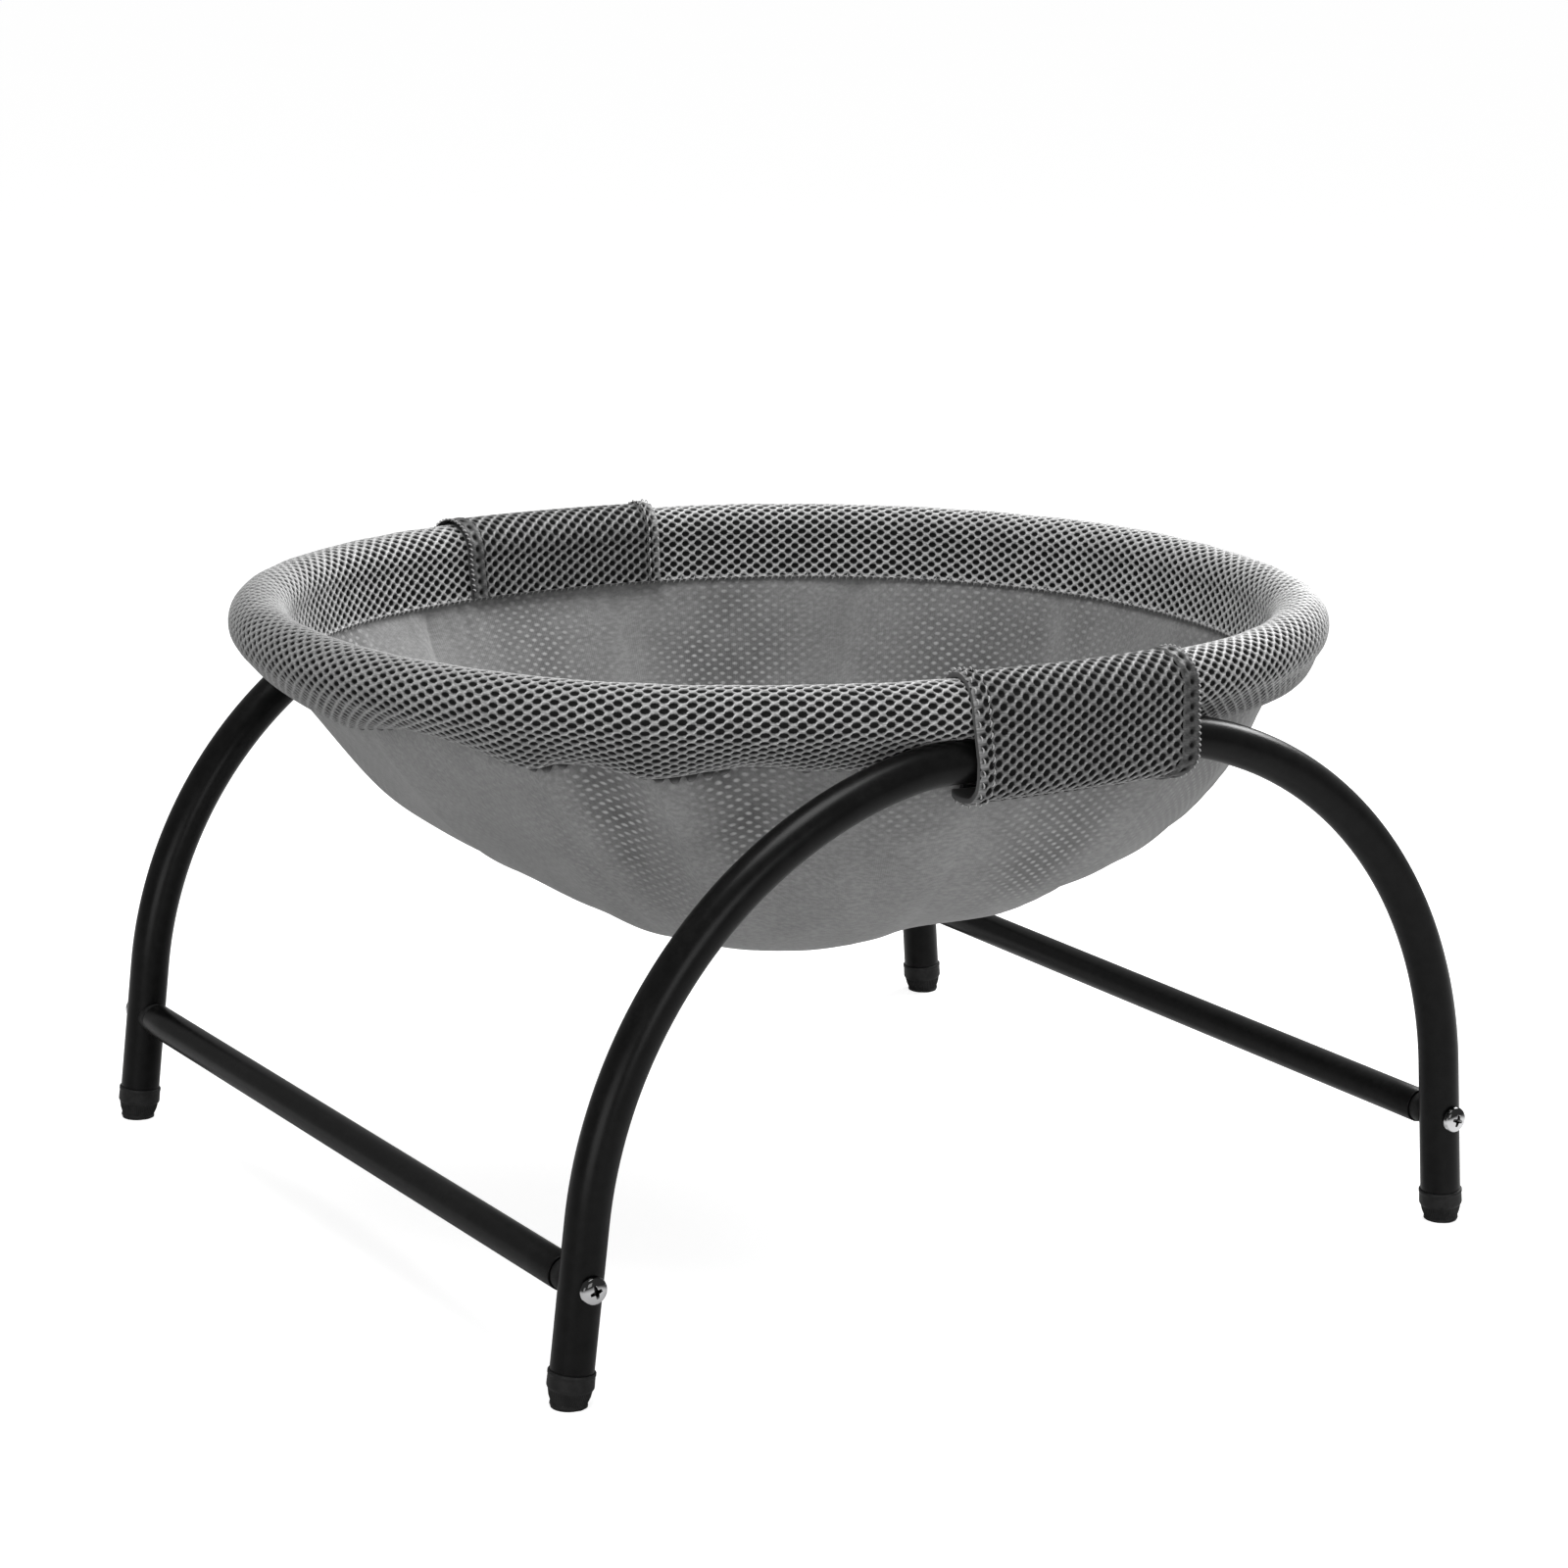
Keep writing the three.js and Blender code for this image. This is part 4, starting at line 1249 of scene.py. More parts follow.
@dataclass
class Crossbars:
    """The two low bars and the inserts that close their ends."""

    finishes: Finishes
    radius: float = 8 * MM
    wall: float = 1.2 * MM
    end_round: float = 0.4 * MM
    end_length: float = 20 * MM
    middle_rings: int = 12
    collar_length: float = 4 * MM
    collar_radius: float = 7.3 * MM
    collar_round: float = 0.5 * MM
    body_radius: float = 5.8 * MM
    body_length: float = 16 * MM
    rib_height: float = 0.5 * MM
    ribs: int = 6
    screw_bore: float = 3.3 * MM
    sides: int = 48

    def bar(self, side: Side) -> bpy.types.Object:
        """Makes a bar with rounded tube ends.

        Args:
            side: Which side of the cot it is on.

        Returns:
            The bar.
        """
        half = LAYOUT.arch_plane - LAYOUT.tube_radius - self.collar_length - LAYOUT.fit_gap
        rounding = self.end_round * (1 - np.cos(np.linspace(math.pi / 2, 0, 4)))
        reach = self.end_round * np.sin(np.linspace(0, math.pi / 2, 4))
        places = np.concatenate([-half + self.end_round - reach[::-1], half - self.end_round + reach])
        inset = np.concatenate([rounding, rounding[::-1]])
        middle = np.linspace(self.end_length - half, half - self.end_length, self.middle_rings)
        places = np.concatenate([places[:4], middle, places[4:]])
        inset = np.concatenate([inset[:4], np.zeros(self.middle_rings), inset[4:]])
        bore = self.radius - self.wall
        places = np.concatenate([places, places[:1] * -1, places[:1]])
        radii = np.concatenate([self.radius - inset, [bore, bore]])
        across, up = np.full_like(places, side.value * LAYOUT.leg_reach), LAYOUT.crossbar_height
        centres = np.stack([across, places, np.full_like(places, up)], -1)
        first = np.tile([0.0, 0.0, 1.0], (len(places), 1))
        second = np.tile([1.0, 0.0, 0.0], (len(places), 1))
        draft = Draft()
        rings = swept_tube(draft, centres, first, second, radii, self.sides)
        draft.bridge(rings[-1], rings[0], ring=True, flip=True)
        piece = draft.build(f"{side.title}_bar", math.radians(50))
        return self.finishes.settle(piece, "cot", Slot.FRAME, f"{side.title}_crossbar")

    def insert(self, end: End, side: Side) -> bpy.types.Object:
        """Makes an insert: a ribbed body in the bar and a collar saddled to the leg.

        Args:
            end: Which end of its bar it is in.
            side: Which bar it is in.

        Returns:
            The insert.
        """
        turn = np.arange(self.sides) * FULL_TURN / self.sides
        ribbed = self.body_radius + self.rib_height * (np.cos(self.ribs * turn) > 0.6)
        seat = self.body_length + self.collar_length
        chamfer = self.collar_round
        across = self.collar_radius * np.sin(turn)
        clear = LAYOUT.tube_radius + LAYOUT.fit_gap
        saddle = LAYOUT.tube_radius - np.sqrt(clear**2 - across**2)
        bore_saddle = LAYOUT.tube_radius - np.sqrt(clear**2 - (self.screw_bore * np.sin(turn)) ** 2)
        rings = [
            (self.screw_bore, -seat),
            (self.body_radius - chamfer, -seat),
            (ribbed, -seat + chamfer),
            (ribbed, -self.collar_length - LAYOUT.fit_gap),
            (self.collar_radius - chamfer / 2, -self.collar_length),
            (self.collar_radius, -self.collar_length + chamfer),
            (self.collar_radius, saddle - chamfer),
            (self.collar_radius - chamfer / 2, saddle),
            (self.screw_bore, bore_saddle),
            (self.screw_bore, -seat),
        ]
        radius, outward = (
            np.array([np.broadcast_to(part, turn.shape) for part in parts]) for parts in zip(*rings)
        )
        x = side.value * LAYOUT.leg_reach + radius * np.sin(turn)
        z = LAYOUT.crossbar_height + radius * np.cos(turn)
        y = end.value * (LAYOUT.arch_plane - LAYOUT.tube_radius + outward)
        draft = Draft()
        draft.grid(np.stack([x, y, z], -1), ring=True, flip=end is End.FRONT)
        piece = draft.build(f"{end.title}_{side.title}_bar_insert", math.radians(45))
        return self.finishes.settle(piece, "cot", Slot.PLASTIC, f"bar_insert_{end.title}_{side.title}")


@dataclass
class FrameScrews:
    """The pan head screws through the legs, with a cross recess in each head."""

    finishes: Finishes
    head_radius: float = 6.2 * MM
    head_height: float = 3.6 * MM
    rim_height: float = 1.3 * MM
    edge_round: float = 0.35 * MM
    shank_radius: float = 3 * MM
    shank_length: float = 37.3 * MM
    thread_pitch: float = 1 * MM
    thread_depth: float = 0.35 * MM
    recess_reach: float = 2.9 * MM
    recess_slot: float = 0.62 * MM
    recess_depth: float = 2.0 * MM
    recess_flare: float = 0.35 * MM
    recess_wall: float = 0.22 * MM
    first_spin: float = 0.3
    end_spin: float = 0.9
    side_spin: float = 0.5
    rings: int = 44
    spokes: int = 112

    def crown(self, radius: Array) -> Array:
        """Height of the domed head over its seat.

        Args:
            radius: Distances from the head's middle.

        Returns:
            The heights.
        """
        share = np.clip(radius / (self.head_radius - self.edge_round / 2), 0, 1)
        rise = self.head_height - self.rim_height
        return self.rim_height + rise * np.sqrt(np.clip(1 - share**2.3, 0, 1))

    def recess(self, x: Array, y: Array) -> Array:
        """Depth of the cross recess below the head's top.

        Args:
            x: Places on the head, along one slot.
            y: Places on it, along the other.

        Returns:
            The depths.
        """
        depth = np.zeros_like(x)
        for along, across in ((np.abs(x), np.abs(y)), (np.abs(y), np.abs(x))):
            taper = np.clip((self.recess_reach - along) / self.recess_reach, 0, 1)
            inside = self.recess_slot + self.recess_flare * taper - across
            wall = np.clip(inside / self.recess_wall, 0, 1)
            depth = np.maximum(depth, self.recess_depth * np.minimum(1, 2.4 * taper) * wall)
        return depth

    def build(self, end: End, side: Side) -> bpy.types.Object:
        """Makes one screw.

        Args:
            end: Which end of the cot it is at.
            side: Which side it is on.

        Returns:
            The screw.
        """
        draft = Draft()
        turn = np.arange(self.spokes) * FULL_TURN / self.spokes
        reach = np.linspace(0, 1, self.rings + 1)[1:] ** 0.85 * (self.head_radius - self.edge_round / 2)
        radius = reach[:, None] * np.ones(self.spokes)
        hollow = self.recess(radius * np.cos(turn), radius * np.sin(turn))
        head = round_points(radius, turn, self.crown(radius) - hollow)
        rim = [
            (self.head_radius, self.rim_height - self.edge_round),
            (self.head_radius, self.edge_round),
            (self.head_radius - self.edge_round, 0.0),
            (self.shank_radius, 0.0),
        ]
        lower = np.array([round_points(edge, turn, height) for edge, height in rim])
        drop = np.arange(0, self.shank_length, self.thread_pitch / 4)[1:]
        phase = (drop[:, None] / self.thread_pitch + turn / FULL_TURN) % 1
        ridge = self.thread_depth * np.abs(2 * phase - 1)
        ridge *= smooth_step(drop, 0.5 * self.shank_length, 0.55 * self.shank_length)[:, None]
        thread = round_points(self.shank_radius - ridge, turn, -drop[:, None])
        points = np.concatenate([head, lower, thread])
        # hollow carries painted shade into the cross recess, darkest at its bottom.
        shade = np.zeros(points.shape[:2])
        shade[:self.rings] = hollow / self.recess_depth
        placed = draft.grid(points, ring=True, hollow=shade)
        draft.cap(placed[0], (0, 0, self.head_height - self.recess_depth), flip=True, hollow=1.0)
        draft.cap(placed[-1], (0, 0, -self.shank_length))
        piece = draft.build(f"{end.title}_{side.title}_screw", math.radians(38))
        spin = self.first_spin + self.end_spin * (end.value + 1) + self.side_spin * (side.value + 1)
        out = LAYOUT.arch_plane + LAYOUT.tube_radius + LAYOUT.fit_gap
        seat = Matrix.Translation(
            (side.value * LAYOUT.leg_reach, end.value * out, LAYOUT.crossbar_height)
        )
        tilt = Matrix.Rotation(-end.value * math.pi / 2, 4, "X")
        piece.data.transform(seat @ tilt @ Matrix.Rotation(spin, 4, "Z"))
        return self.finishes.settle(piece, "cot", Slot.CHROME, f"frame_screw_{end.title}_{side.title}")


@dataclass
class Feet:
    """The plugs in the legs' ends, each with a plain collar over a fluted taper."""

    finishes: Finishes
    collar_radius: float = 10.2 * MM
    tread_radius: float = 7.8 * MM
    height: float = 16 * MM
    taper_height: float = 8 * MM
    lip_height: float = 1.6 * MM
    lip_out: float = 0.35 * MM
    flute_depth: float = 0.3 * MM
    flutes: int = 56
    stem_radius: float = 7.3 * MM
    stem_length: float = 14 * MM
    stem_rib: float = 0.6 * MM
    samples: int = 448

    def build(self, end: End, side: Side) -> bpy.types.Object:
        """Makes one foot, cut level where it stands.

        Args:
            end: Which end of the cot it is at.
            side: Which side it is on.

        Returns:
            The foot.
        """
        turn = np.arange(self.samples) * FULL_TURN / self.samples
        flute = 0.5 - 0.5 * np.cos(self.flutes * turn)
        top = self.height - LAYOUT.fit_gap
        edge = 0.5 * MM
        half_radius = 0.5 * (self.tread_radius + self.collar_radius)
        half_height = 0.5 * (self.lip_height + self.taper_height)
        profile = [
            (self.tread_radius - 0.4 * MM, -2.2 * MM, 0.0),
            (self.tread_radius + self.lip_out - 0.3 * MM, 0.15 * MM, 0.0),
            (self.tread_radius + self.lip_out, 0.6 * MM, 0.0),
            (self.tread_radius + self.lip_out, 1.3 * MM, 0.0),
            (self.tread_radius + 0.1 * MM, self.lip_height, 0.1),
            (self.tread_radius + 0.2 * MM, self.lip_height + 0.5 * MM, 1.0),
            (half_radius, half_height, 1.0),
            (self.collar_radius - 0.7 * MM, self.taper_height - 0.5 * MM, 1.0),
            (self.collar_radius - 0.35 * MM, self.taper_height + 0.1 * MM, 0.1),
            (self.collar_radius - 0.05 * MM, self.taper_height + 0.7 * MM, 0.0),
            (self.collar_radius, self.taper_height + 1.4 * MM, 0.0),
            (self.collar_radius - 0.1 * MM, top - 2.2 * MM, 0.0),
            (self.collar_radius - 0.1 * MM, top - 1.8 * MM, 0.0),
            (self.collar_radius + 0.1 * MM, top - 1.5 * MM, 0.0),
            (self.collar_radius + 0.1 * MM, top - edge, 0.0),
            (self.collar_radius - 0.15 * MM, top - 0.1 * MM, 0.0),
            (self.collar_radius - edge, top, 0.0),
            (self.stem_radius, top, 0.0),
            (self.stem_radius, top + self.stem_length - edge, 0.0),
            (self.stem_radius - edge, top + self.stem_length, 0.0),
        ]
        rows = []
        for radius, height, fluted in profile:
            reach = radius - self.flute_depth * fluted * flute
            if height > top + edge / 2:
                reach = reach + self.stem_rib * (np.cos(4 * turn) > 0.9)
            rows.append(round_points(reach, turn, height))
        points = np.array(rows)
        tilt = Matrix.Rotation(-side.value * LAYOUT.leg_splay, 3, "Y")
        points = points @ np.array(tilt).T
        points += np.array([side.value * LAYOUT.foot_spread / 2, end.value * LAYOUT.arch_plane, 0])
        points[..., 2] = np.maximum(points[..., 2], 0)
        draft = Draft()
        placed = draft.grid(points, ring=True, flip=True)
        draft.cap(placed[0], points[0].mean(0))
        draft.cap(placed[-1], points[-1].mean(0), flip=True)
        piece = draft.build(f"{end.title}_{side.title}_foot", math.radians(42))
        return self.finishes.settle(piece, "cot", Slot.FOOT, f"foot_{end.title}_{side.title}")


class Surface:
    """A smooth sheet given by a fine grid of points, read anywhere on it."""

    def __init__(self, points: Array, loop: bool, inward: bool = False) -> None:
        """Keeps the grid and works out its normals.

        Args:
            points: Grid of points, first along the sheet and then across it.
            loop: Whether the sheet joins itself along its first direction.
            inward: Whether the normals look the other way.
        """
        self.points = points
        self.loop = loop
        if loop:
            ahead = np.roll(points, -1, 0) - np.roll(points, 1, 0)
        else:
            ahead = np.gradient(points, axis=0)
        across = np.gradient(points, axis=1)
        self.normals = unit(np.cross(ahead, across)) * (-1 if inward else 1)

    def at(self, along: Array, across: Array) -> tuple[Array, Array]:
        """Points and normals of the sheet.

        Args:
            along: Shares of its length, from 0 to 1.
            across: Shares of its width, from 0 to 1.

        Returns:
            The points and the normals there.
        """
        rows, columns = self.points.shape[:2]
        if self.loop:
            place = (along % 1.0) * rows
            low = np.floor(place).astype(int)
            part_u = place - low
            low, high = low % rows, (low + 1) % rows
        else:
            place = np.clip(along, 0, 1) * (rows - 1)
            low = np.clip(np.floor(place).astype(int), 0, rows - 2)
            part_u = place - low
            high = low + 1
        place = np.clip(across, 0, 1) * (columns - 1)
        left = np.clip(np.floor(place).astype(int), 0, columns - 2)
        part_v = (place - left)[..., None]
        part_u = part_u[..., None]
        found = []
        for grid in (self.points, self.normals):
            first = grid[low, left] * (1 - part_v) + grid[low, left + 1] * part_v
            second = grid[high, left] * (1 - part_v) + grid[high, left + 1] * part_v
            found.append(first * (1 - part_u) + second * part_u)
        return found[0], unit(found[1])


@dataclass(frozen=True)
class Knit:
    """Open knit whose holes stand in rows that are half a pitch apart."""

    pitch: float
    half_row: float
    hole_width: float
    hole_height: float
    strand_drop: float = 0.55 * MM
    depth: float = 1.7 * MM
    knot_rise: float = 0.12 * MM
    floor_share: float = 0.72
    unevenness: float = 0.035

    def ring(self) -> Array:
        """Corners of the strands round one hole.

        Returns:
            Their places in pitches and half rows from its middle.
        """
        half = self.pitch / 2
        point = (half**2 + self.half_row**2) / (2 * half) / self.pitch
        shoulder = (half**2 - self.half_row**2) / (2 * half) / self.pitch
        return np.array([
            (point, 0), (shoulder, 1), (0, 1), (-shoulder, 1),
            (-point, 0), (-shoulder, -1), (0, -1), (shoulder, -1),
        ])

    def add_to(
        self,
        draft: Draft,
        surface: Surface,
        columns: int,
        half_rows: int,
        seed: int,
        relief: Callable[[Array, Array], Array],
        tone: Callable[[Array, Array], Array],
        flip: bool = False,
        only: Callable[[Array], Array] | None = None,
        opening: Callable[[Array], Array] = np.ones_like,
        calm: Callable[[Array, Array], Array] | None = None,
    ) -> None:
        """Knits a sheet over a surface.

        Args:
            draft: The mesh to add to.
            surface: What the knit lies on.
            columns: Pitches along the surface.
            half_rows: Half rows across it.
            seed: Which unevenness to draw.
            relief: How deep the holes are, as a share, at shares along and across.
            tone: How pale the strands are, likewise.
            flip: Whether the faces look the other way.
            only: Which cells are made, by the share along of their middles.
            opening: How wide the holes are, as a share, at shares along.
            calm: How much the painted light and shade of the strands' two slants is calmed, at shares along
                and across.
        """
        extra = 0 if surface.loop else 1
        i, j = np.meshgrid(np.arange(-extra, columns + extra), np.arange(half_rows + 1), indexing="ij")
        i, j = i.ravel(), j.ravel()
        middle = np.stack([i + (j % 2) / 2, j], -1).astype(float)
        if not surface.loop:
            inside = (middle[:, 0] > -0.45) & (middle[:, 0] < columns + 0.45)
            middle, i, j = middle[inside], i[inside], j[inside]
        draw = np.random.default_rng(seed)
        size = 1 + self.unevenness * draw.standard_normal((len(middle), 1, 2))
        drift = 0.3 * self.unevenness * draw.standard_normal((len(middle), 1, 2))
        size = size * opening(middle[:, 0] / columns)[:, None, None]
        if only is not None:
            kept = only(middle[:, 0] / columns)
            middle, size, drift = middle[kept], size[kept], drift[kept]
        ring = self.ring()
        outer = middle[:, None] + ring[None]
        turn = np.arange(8) * FULL_TURN / 8
        hole = np.stack([
            np.cos(turn) * self.hole_width / 2 / self.pitch,
            np.sin(turn) * self.hole_height / 2 / self.half_row,
        ], -1)
        edge = middle[:, None] + hole * size + drift
        floor = middle[:, None] + hole * size * self.floor_share + drift
        high = np.zeros(8)
        high[[0, 4]] = self.knot_rise
        high[[1, 3, 5, 7]] = self.knot_rise
        cells = len(middle)
        place = np.concatenate([outer, edge, floor], 1).reshape(-1, 2)
        level = np.concatenate([high, np.full(8, -self.strand_drop), np.full(8, -self.depth)])
        level = np.tile(level, cells)
        # Painted shade: none on the strands' tops, some at the holes' edges, all of it on the pits' floors.
        pit = np.tile(np.repeat([0.0, 0.42, 1.0], 8), cells)
        limit_u = place[:, 0] if surface.loop else np.clip(place[:, 0], 0, columns)
        place = np.stack([limit_u, np.clip(place[:, 1], 0, half_rows)], -1)
        wrapped = place[:, 0] % columns if surface.loop else place[:, 0]
        strand = np.arange(cells * 24) % 24 < 8
        key = np.round(np.stack([wrapped, place[:, 1]], -1) * 4096).astype(np.int64)
        key[:, 0] %= columns * 4096 if surface.loop else (1 << 40)
        code = key[:, 0] * (1 << 24) + key[:, 1]
        code[~strand] = -1 - np.arange((~strand).sum())
        _, first, inverse = np.unique(code, return_index=True, return_inverse=True)
        u, v = place[first, 0] / columns, place[first, 1] / half_rows
        points, normals = surface.at(u, v)
        share = relief(u % 1.0 if surface.loop else u, v)
        points = points + normals * (level[first] * share)[:, None]
        corner = inverse.reshape(cells, 3, 8)
        after = np.roll(corner, -1, axis=2)
        walls = [
            np.stack([corner[:, k], after[:, k], after[:, k + 1], corner[:, k + 1]], -1).reshape(-1, 4)
            for k in (0, 1)
        ]
        base = corner[:, 2]
        bottoms = [base[:, [0, 1, 2, 3]], base[:, [0, 3, 4, 7]], base[:, [4, 5, 6, 7]]]
        quads = np.concatenate(walls + bottoms)
        if flip:
            quads = quads[:, ::-1]
        quads = quads[self._has_area(points, quads)]
        cloth = np.stack([u * columns * self.pitch, v * half_rows * self.half_row, np.zeros_like(u)], -1)
        # The painted shade is lighter where the holes are shallower, such as on top of the rim.
        pits = pit[first] * np.clip(share, 0, 1)
        even = np.zeros_like(u) if calm is None else calm(u, v)
        draft.add(points, quads, pit=pits, tone=tone(u, v), calm=even, cloth=cloth)

    @staticmethod
    def _has_area(points: Array, quads: Array) -> Array:
        """Which faces are more than a line.

        Args:
            points: The corners.
            quads: The faces.

        Returns:
            Whether each face is.
        """
        a, b, c, d = (points[quads[:, k]] for k in range(4))
        doubled = np.linalg.norm(np.cross(c - a, d - b), axis=-1)
        distinct = np.array([len(set(face)) == 4 for face in quads.tolist()])
        return distinct & (doubled > 1e-10)


@dataclass
class Stitching:
    """A row of short stitches, each a bowed piece of thread."""

    thread_radius: float = 0.28 * MM
    length: float = 2.6 * MM
    pitch: float = 4 * MM
    bow: float = 0.25 * MM
    sides: int = 6
    rings: int = 6

    def add_to(
        self,
        draft: Draft,
        line: Array,
        normals: Array,
        across: Array,
        slant: float,
        seed: int,
    ) -> None:
        """Sews stitches along a line.

        Args:
            draft: The mesh to add to.
            line: Points of the line on the cloth.
            normals: The cloth's normals there.
            across: Directions across the line, in the cloth.
            slant: Angle of a stitch to the line.
            seed: Which unevenness to draw.
        """
        along = path_lengths(line)
        count = max(2, int(along[-1] / self.pitch))
        places = (np.arange(count) + 0.5) * along[-1] / count
        draw = np.random.default_rng(seed)
        places = places + draw.normal(0, 0.05 * self.pitch, count)
        centre, up, side = (
            np.stack([np.interp(places, along, column) for column in rows.T], -1)
            for rows in (line, normals, across)
        )
        up, side = unit(up), unit(side)
        ahead = unit(np.cross(side, up))
        angle = slant + draw.normal(0, 0.06, count)[:, None]
        way = unit(ahead * np.cos(angle) + side * np.sin(angle))
        beside = unit(np.cross(up, way))
        share = np.linspace(-1, 1, self.rings)
        size = self.length * (1 + draw.normal(0, 0.06, count))[:, None]
        lift = self.bow + self.thread_radius - (self.bow + 2.2 * self.thread_radius) * np.abs(share) ** 3
        middle = (
            centre[:, None]
            + way[:, None] * (share[None] * size / 2)[..., None]
            + up[:, None] * lift[None, :, None]
        )
        taper = self.thread_radius * np.sqrt(np.clip(1.02 - share**2 * 0.75, 0.05, 1))
        turn = np.arange(self.sides) * FULL_TURN / self.sides
        spoke = np.cos(turn)[None, :, None] * up[:, None] + np.sin(turn)[None, :, None] * beside[:, None]
        points = middle[:, :, None] + taper[None, :, None, None] * spoke[:, None]
        cell = np.arange(self.rings * self.sides).reshape(self.rings, self.sides)
        after = np.roll(cell, -1, axis=1)
        quads = np.stack([cell[:-1], cell[1:], after[1:], after[:-1]], -1).reshape(-1, 4)
        base = np.arange(count)[:, None, None] * self.rings * self.sides
        draft.add(points.reshape(-1, 3), (quads[None] + base).reshape(-1, 4))


@dataclass
class BowlShape:
    """The loaded bowl's surface, from its hem to its deepest point."""

    hem_inset: float = 13.2 * MM
    hem_drop: float = 28 * MM
    tuck_width: float = 2.5 * MM
    tuck_height: float = 8 * MM
    inner_hem_drop: float = 21.5 * MM
    thickness: float = 3 * MM
    depth: float = 101.3 * MM
    right_offset: float = 4.1 * MM
    front_offset: float = 11.4 * MM
    belly: tuple[float, float, float] = (5.9, 2.35, 0.32)
    rounding: float = 1.11
    slack_height: float = 4.0
    slack_rise: float = 1.5
    fold_depth: float = 5 * MM
    fold_dip: float = 3 * MM
    sway: tuple[tuple[float, float], ...] = (
        (0.062, -0.045), (0.012, -0.102), (-0.063, -0.033), (-0.014, -0.032), (-0.01, -0.017),
    )
    folds: tuple[tuple[float, float, float, float], ...] = (
        (-150, 6, 0.7, 1.0), (-132, 6, 1.0, 1.0), (-96, 8, -0.6, 0.3), (-66, 6, 1.0, 0.4),
        (-30, 9, 0.7, 0.8), (6, 9, -0.6, 0.5), (48, 7, 0.8, 0.8), (114, 7, 0.9, 0.6),
        (150, 8, 0.7, 1.0), (-178, 9, -0.5, 0.5),
    )
    hem_lifts: tuple[tuple[float, float], ...] = (
        (-180, 2.0), (-176, 1.5), (-172, 3.5), (-168, 6.0), (-164, 7.8), (-160, 6.8), (-156, 4.3),
        (-153, 2.1), (-151, 1.2), (-149, 2.0), (-147, 4.4), (-143, 3.5), (-141, 1.6), (-138, -1.0),
        (-136, 0.2), (-133, 3.1), (-131, 4.8), (-127, 5.8), (-124, 4.7), (-120, 2.0), (-117, 2.0),
        (-112, 0.8), (-104, 0.0), (-70, 0.0), (0, 0.0), (150, 0.0), (165, 1.5),
    )

    def hem_lift(self, angle: Array) -> Array:
        """How far the hem is drawn up over its usual height, at angles."""
        places, lifts = np.array(self.hem_lifts).T
        return np.interp(np.degrees(angle), places, lifts, period=360) * MM

    def fold_weights(self, angle: Array) -> tuple[Array, Array]:
        """How strongly the folds stand out, and dip the hem.

        Args:
            angle: Angles seen from above.

        Returns:
            The folds' height and the hem's dip, as shares.
        """
        deep, dip = np.zeros_like(angle), np.zeros_like(angle)
        for at, width, depth_share, dip_share in self.folds:
            bell = np.exp(-(turned(angle, at, width) ** 2))
            deep += depth_share * bell
            dip += dip_share * bell
        return deep, dip

    def beside_hoop(
        self, angle: Array, outward: Array | float, up: Array | float
    ) -> Array:
        """Points beside the hoop's centreline.

        Args:
            angle: Angles seen from above.
            outward: How far outward they are.
            up: How far up they are.

        Returns:
            The points.
        """
        point = LAYOUT.hoop_point(angle)
        beside = point + LAYOUT.hoop_outward(point) * np.asarray(outward)[..., None]
        beside[..., 2] += up
        return beside

    def outside(self, angle: Array, share: Array) -> Array:
        """Points of the bowl's outside.

        Args:
            angle: Angles seen from above.
            share: 1 at the hem and 0 at the deepest point.

        Returns:
            The points.
        """
        deep, dip_weight = self.fold_weights(angle)
        dip = self.fold_dip * dip_weight - self.hem_lift(angle)
        hem = self.beside_hoop(angle, np.full_like(angle, -self.hem_inset), -self.hem_drop - dip)
        belly = self.belly[0] + self.belly[1] * np.cos(angle) + self.belly[2] * np.sin(angle)
        slack = self.slack_height * share**self.slack_rise * (1 - share)
        sway = np.zeros_like(angle)
        for waves, (cosine, sine) in enumerate(self.sway, 1):
            sway += cosine * np.cos(waves * angle) + sine * np.sin(waves * angle)
        drop = self.depth * (1 - share**belly) ** self.rounding
        bottom = LAYOUT.hoop_height - self.hem_drop
        x = hem[..., 0] * share + self.right_offset * (1 - share**2)
        y = hem[..., 1] * share - self.front_offset * (1 - share**2)
        z = bottom - dip * share**belly - drop + slack * (sway * self.depth - self.fold_depth * deep)
        return np.stack([x, y, z], -1)

    def inner_seam(self, angle: Array) -> Array:
        """Where the sleeve's inside meets the bowl's inner face.

        Args:
            angle: Angles seen from above.

        Returns:
            The seam's points.
        """
        slope = self.tuck_width / self.tuck_height
        inset = self.hem_inset - (self.hem_drop - self.inner_hem_drop) * slope
        away = -inset - self.thickness * math.hypot(1, slope) - LAYOUT.fit_gap
        return self.beside_hoop(angle, np.full_like(angle, away), -self.inner_hem_drop)


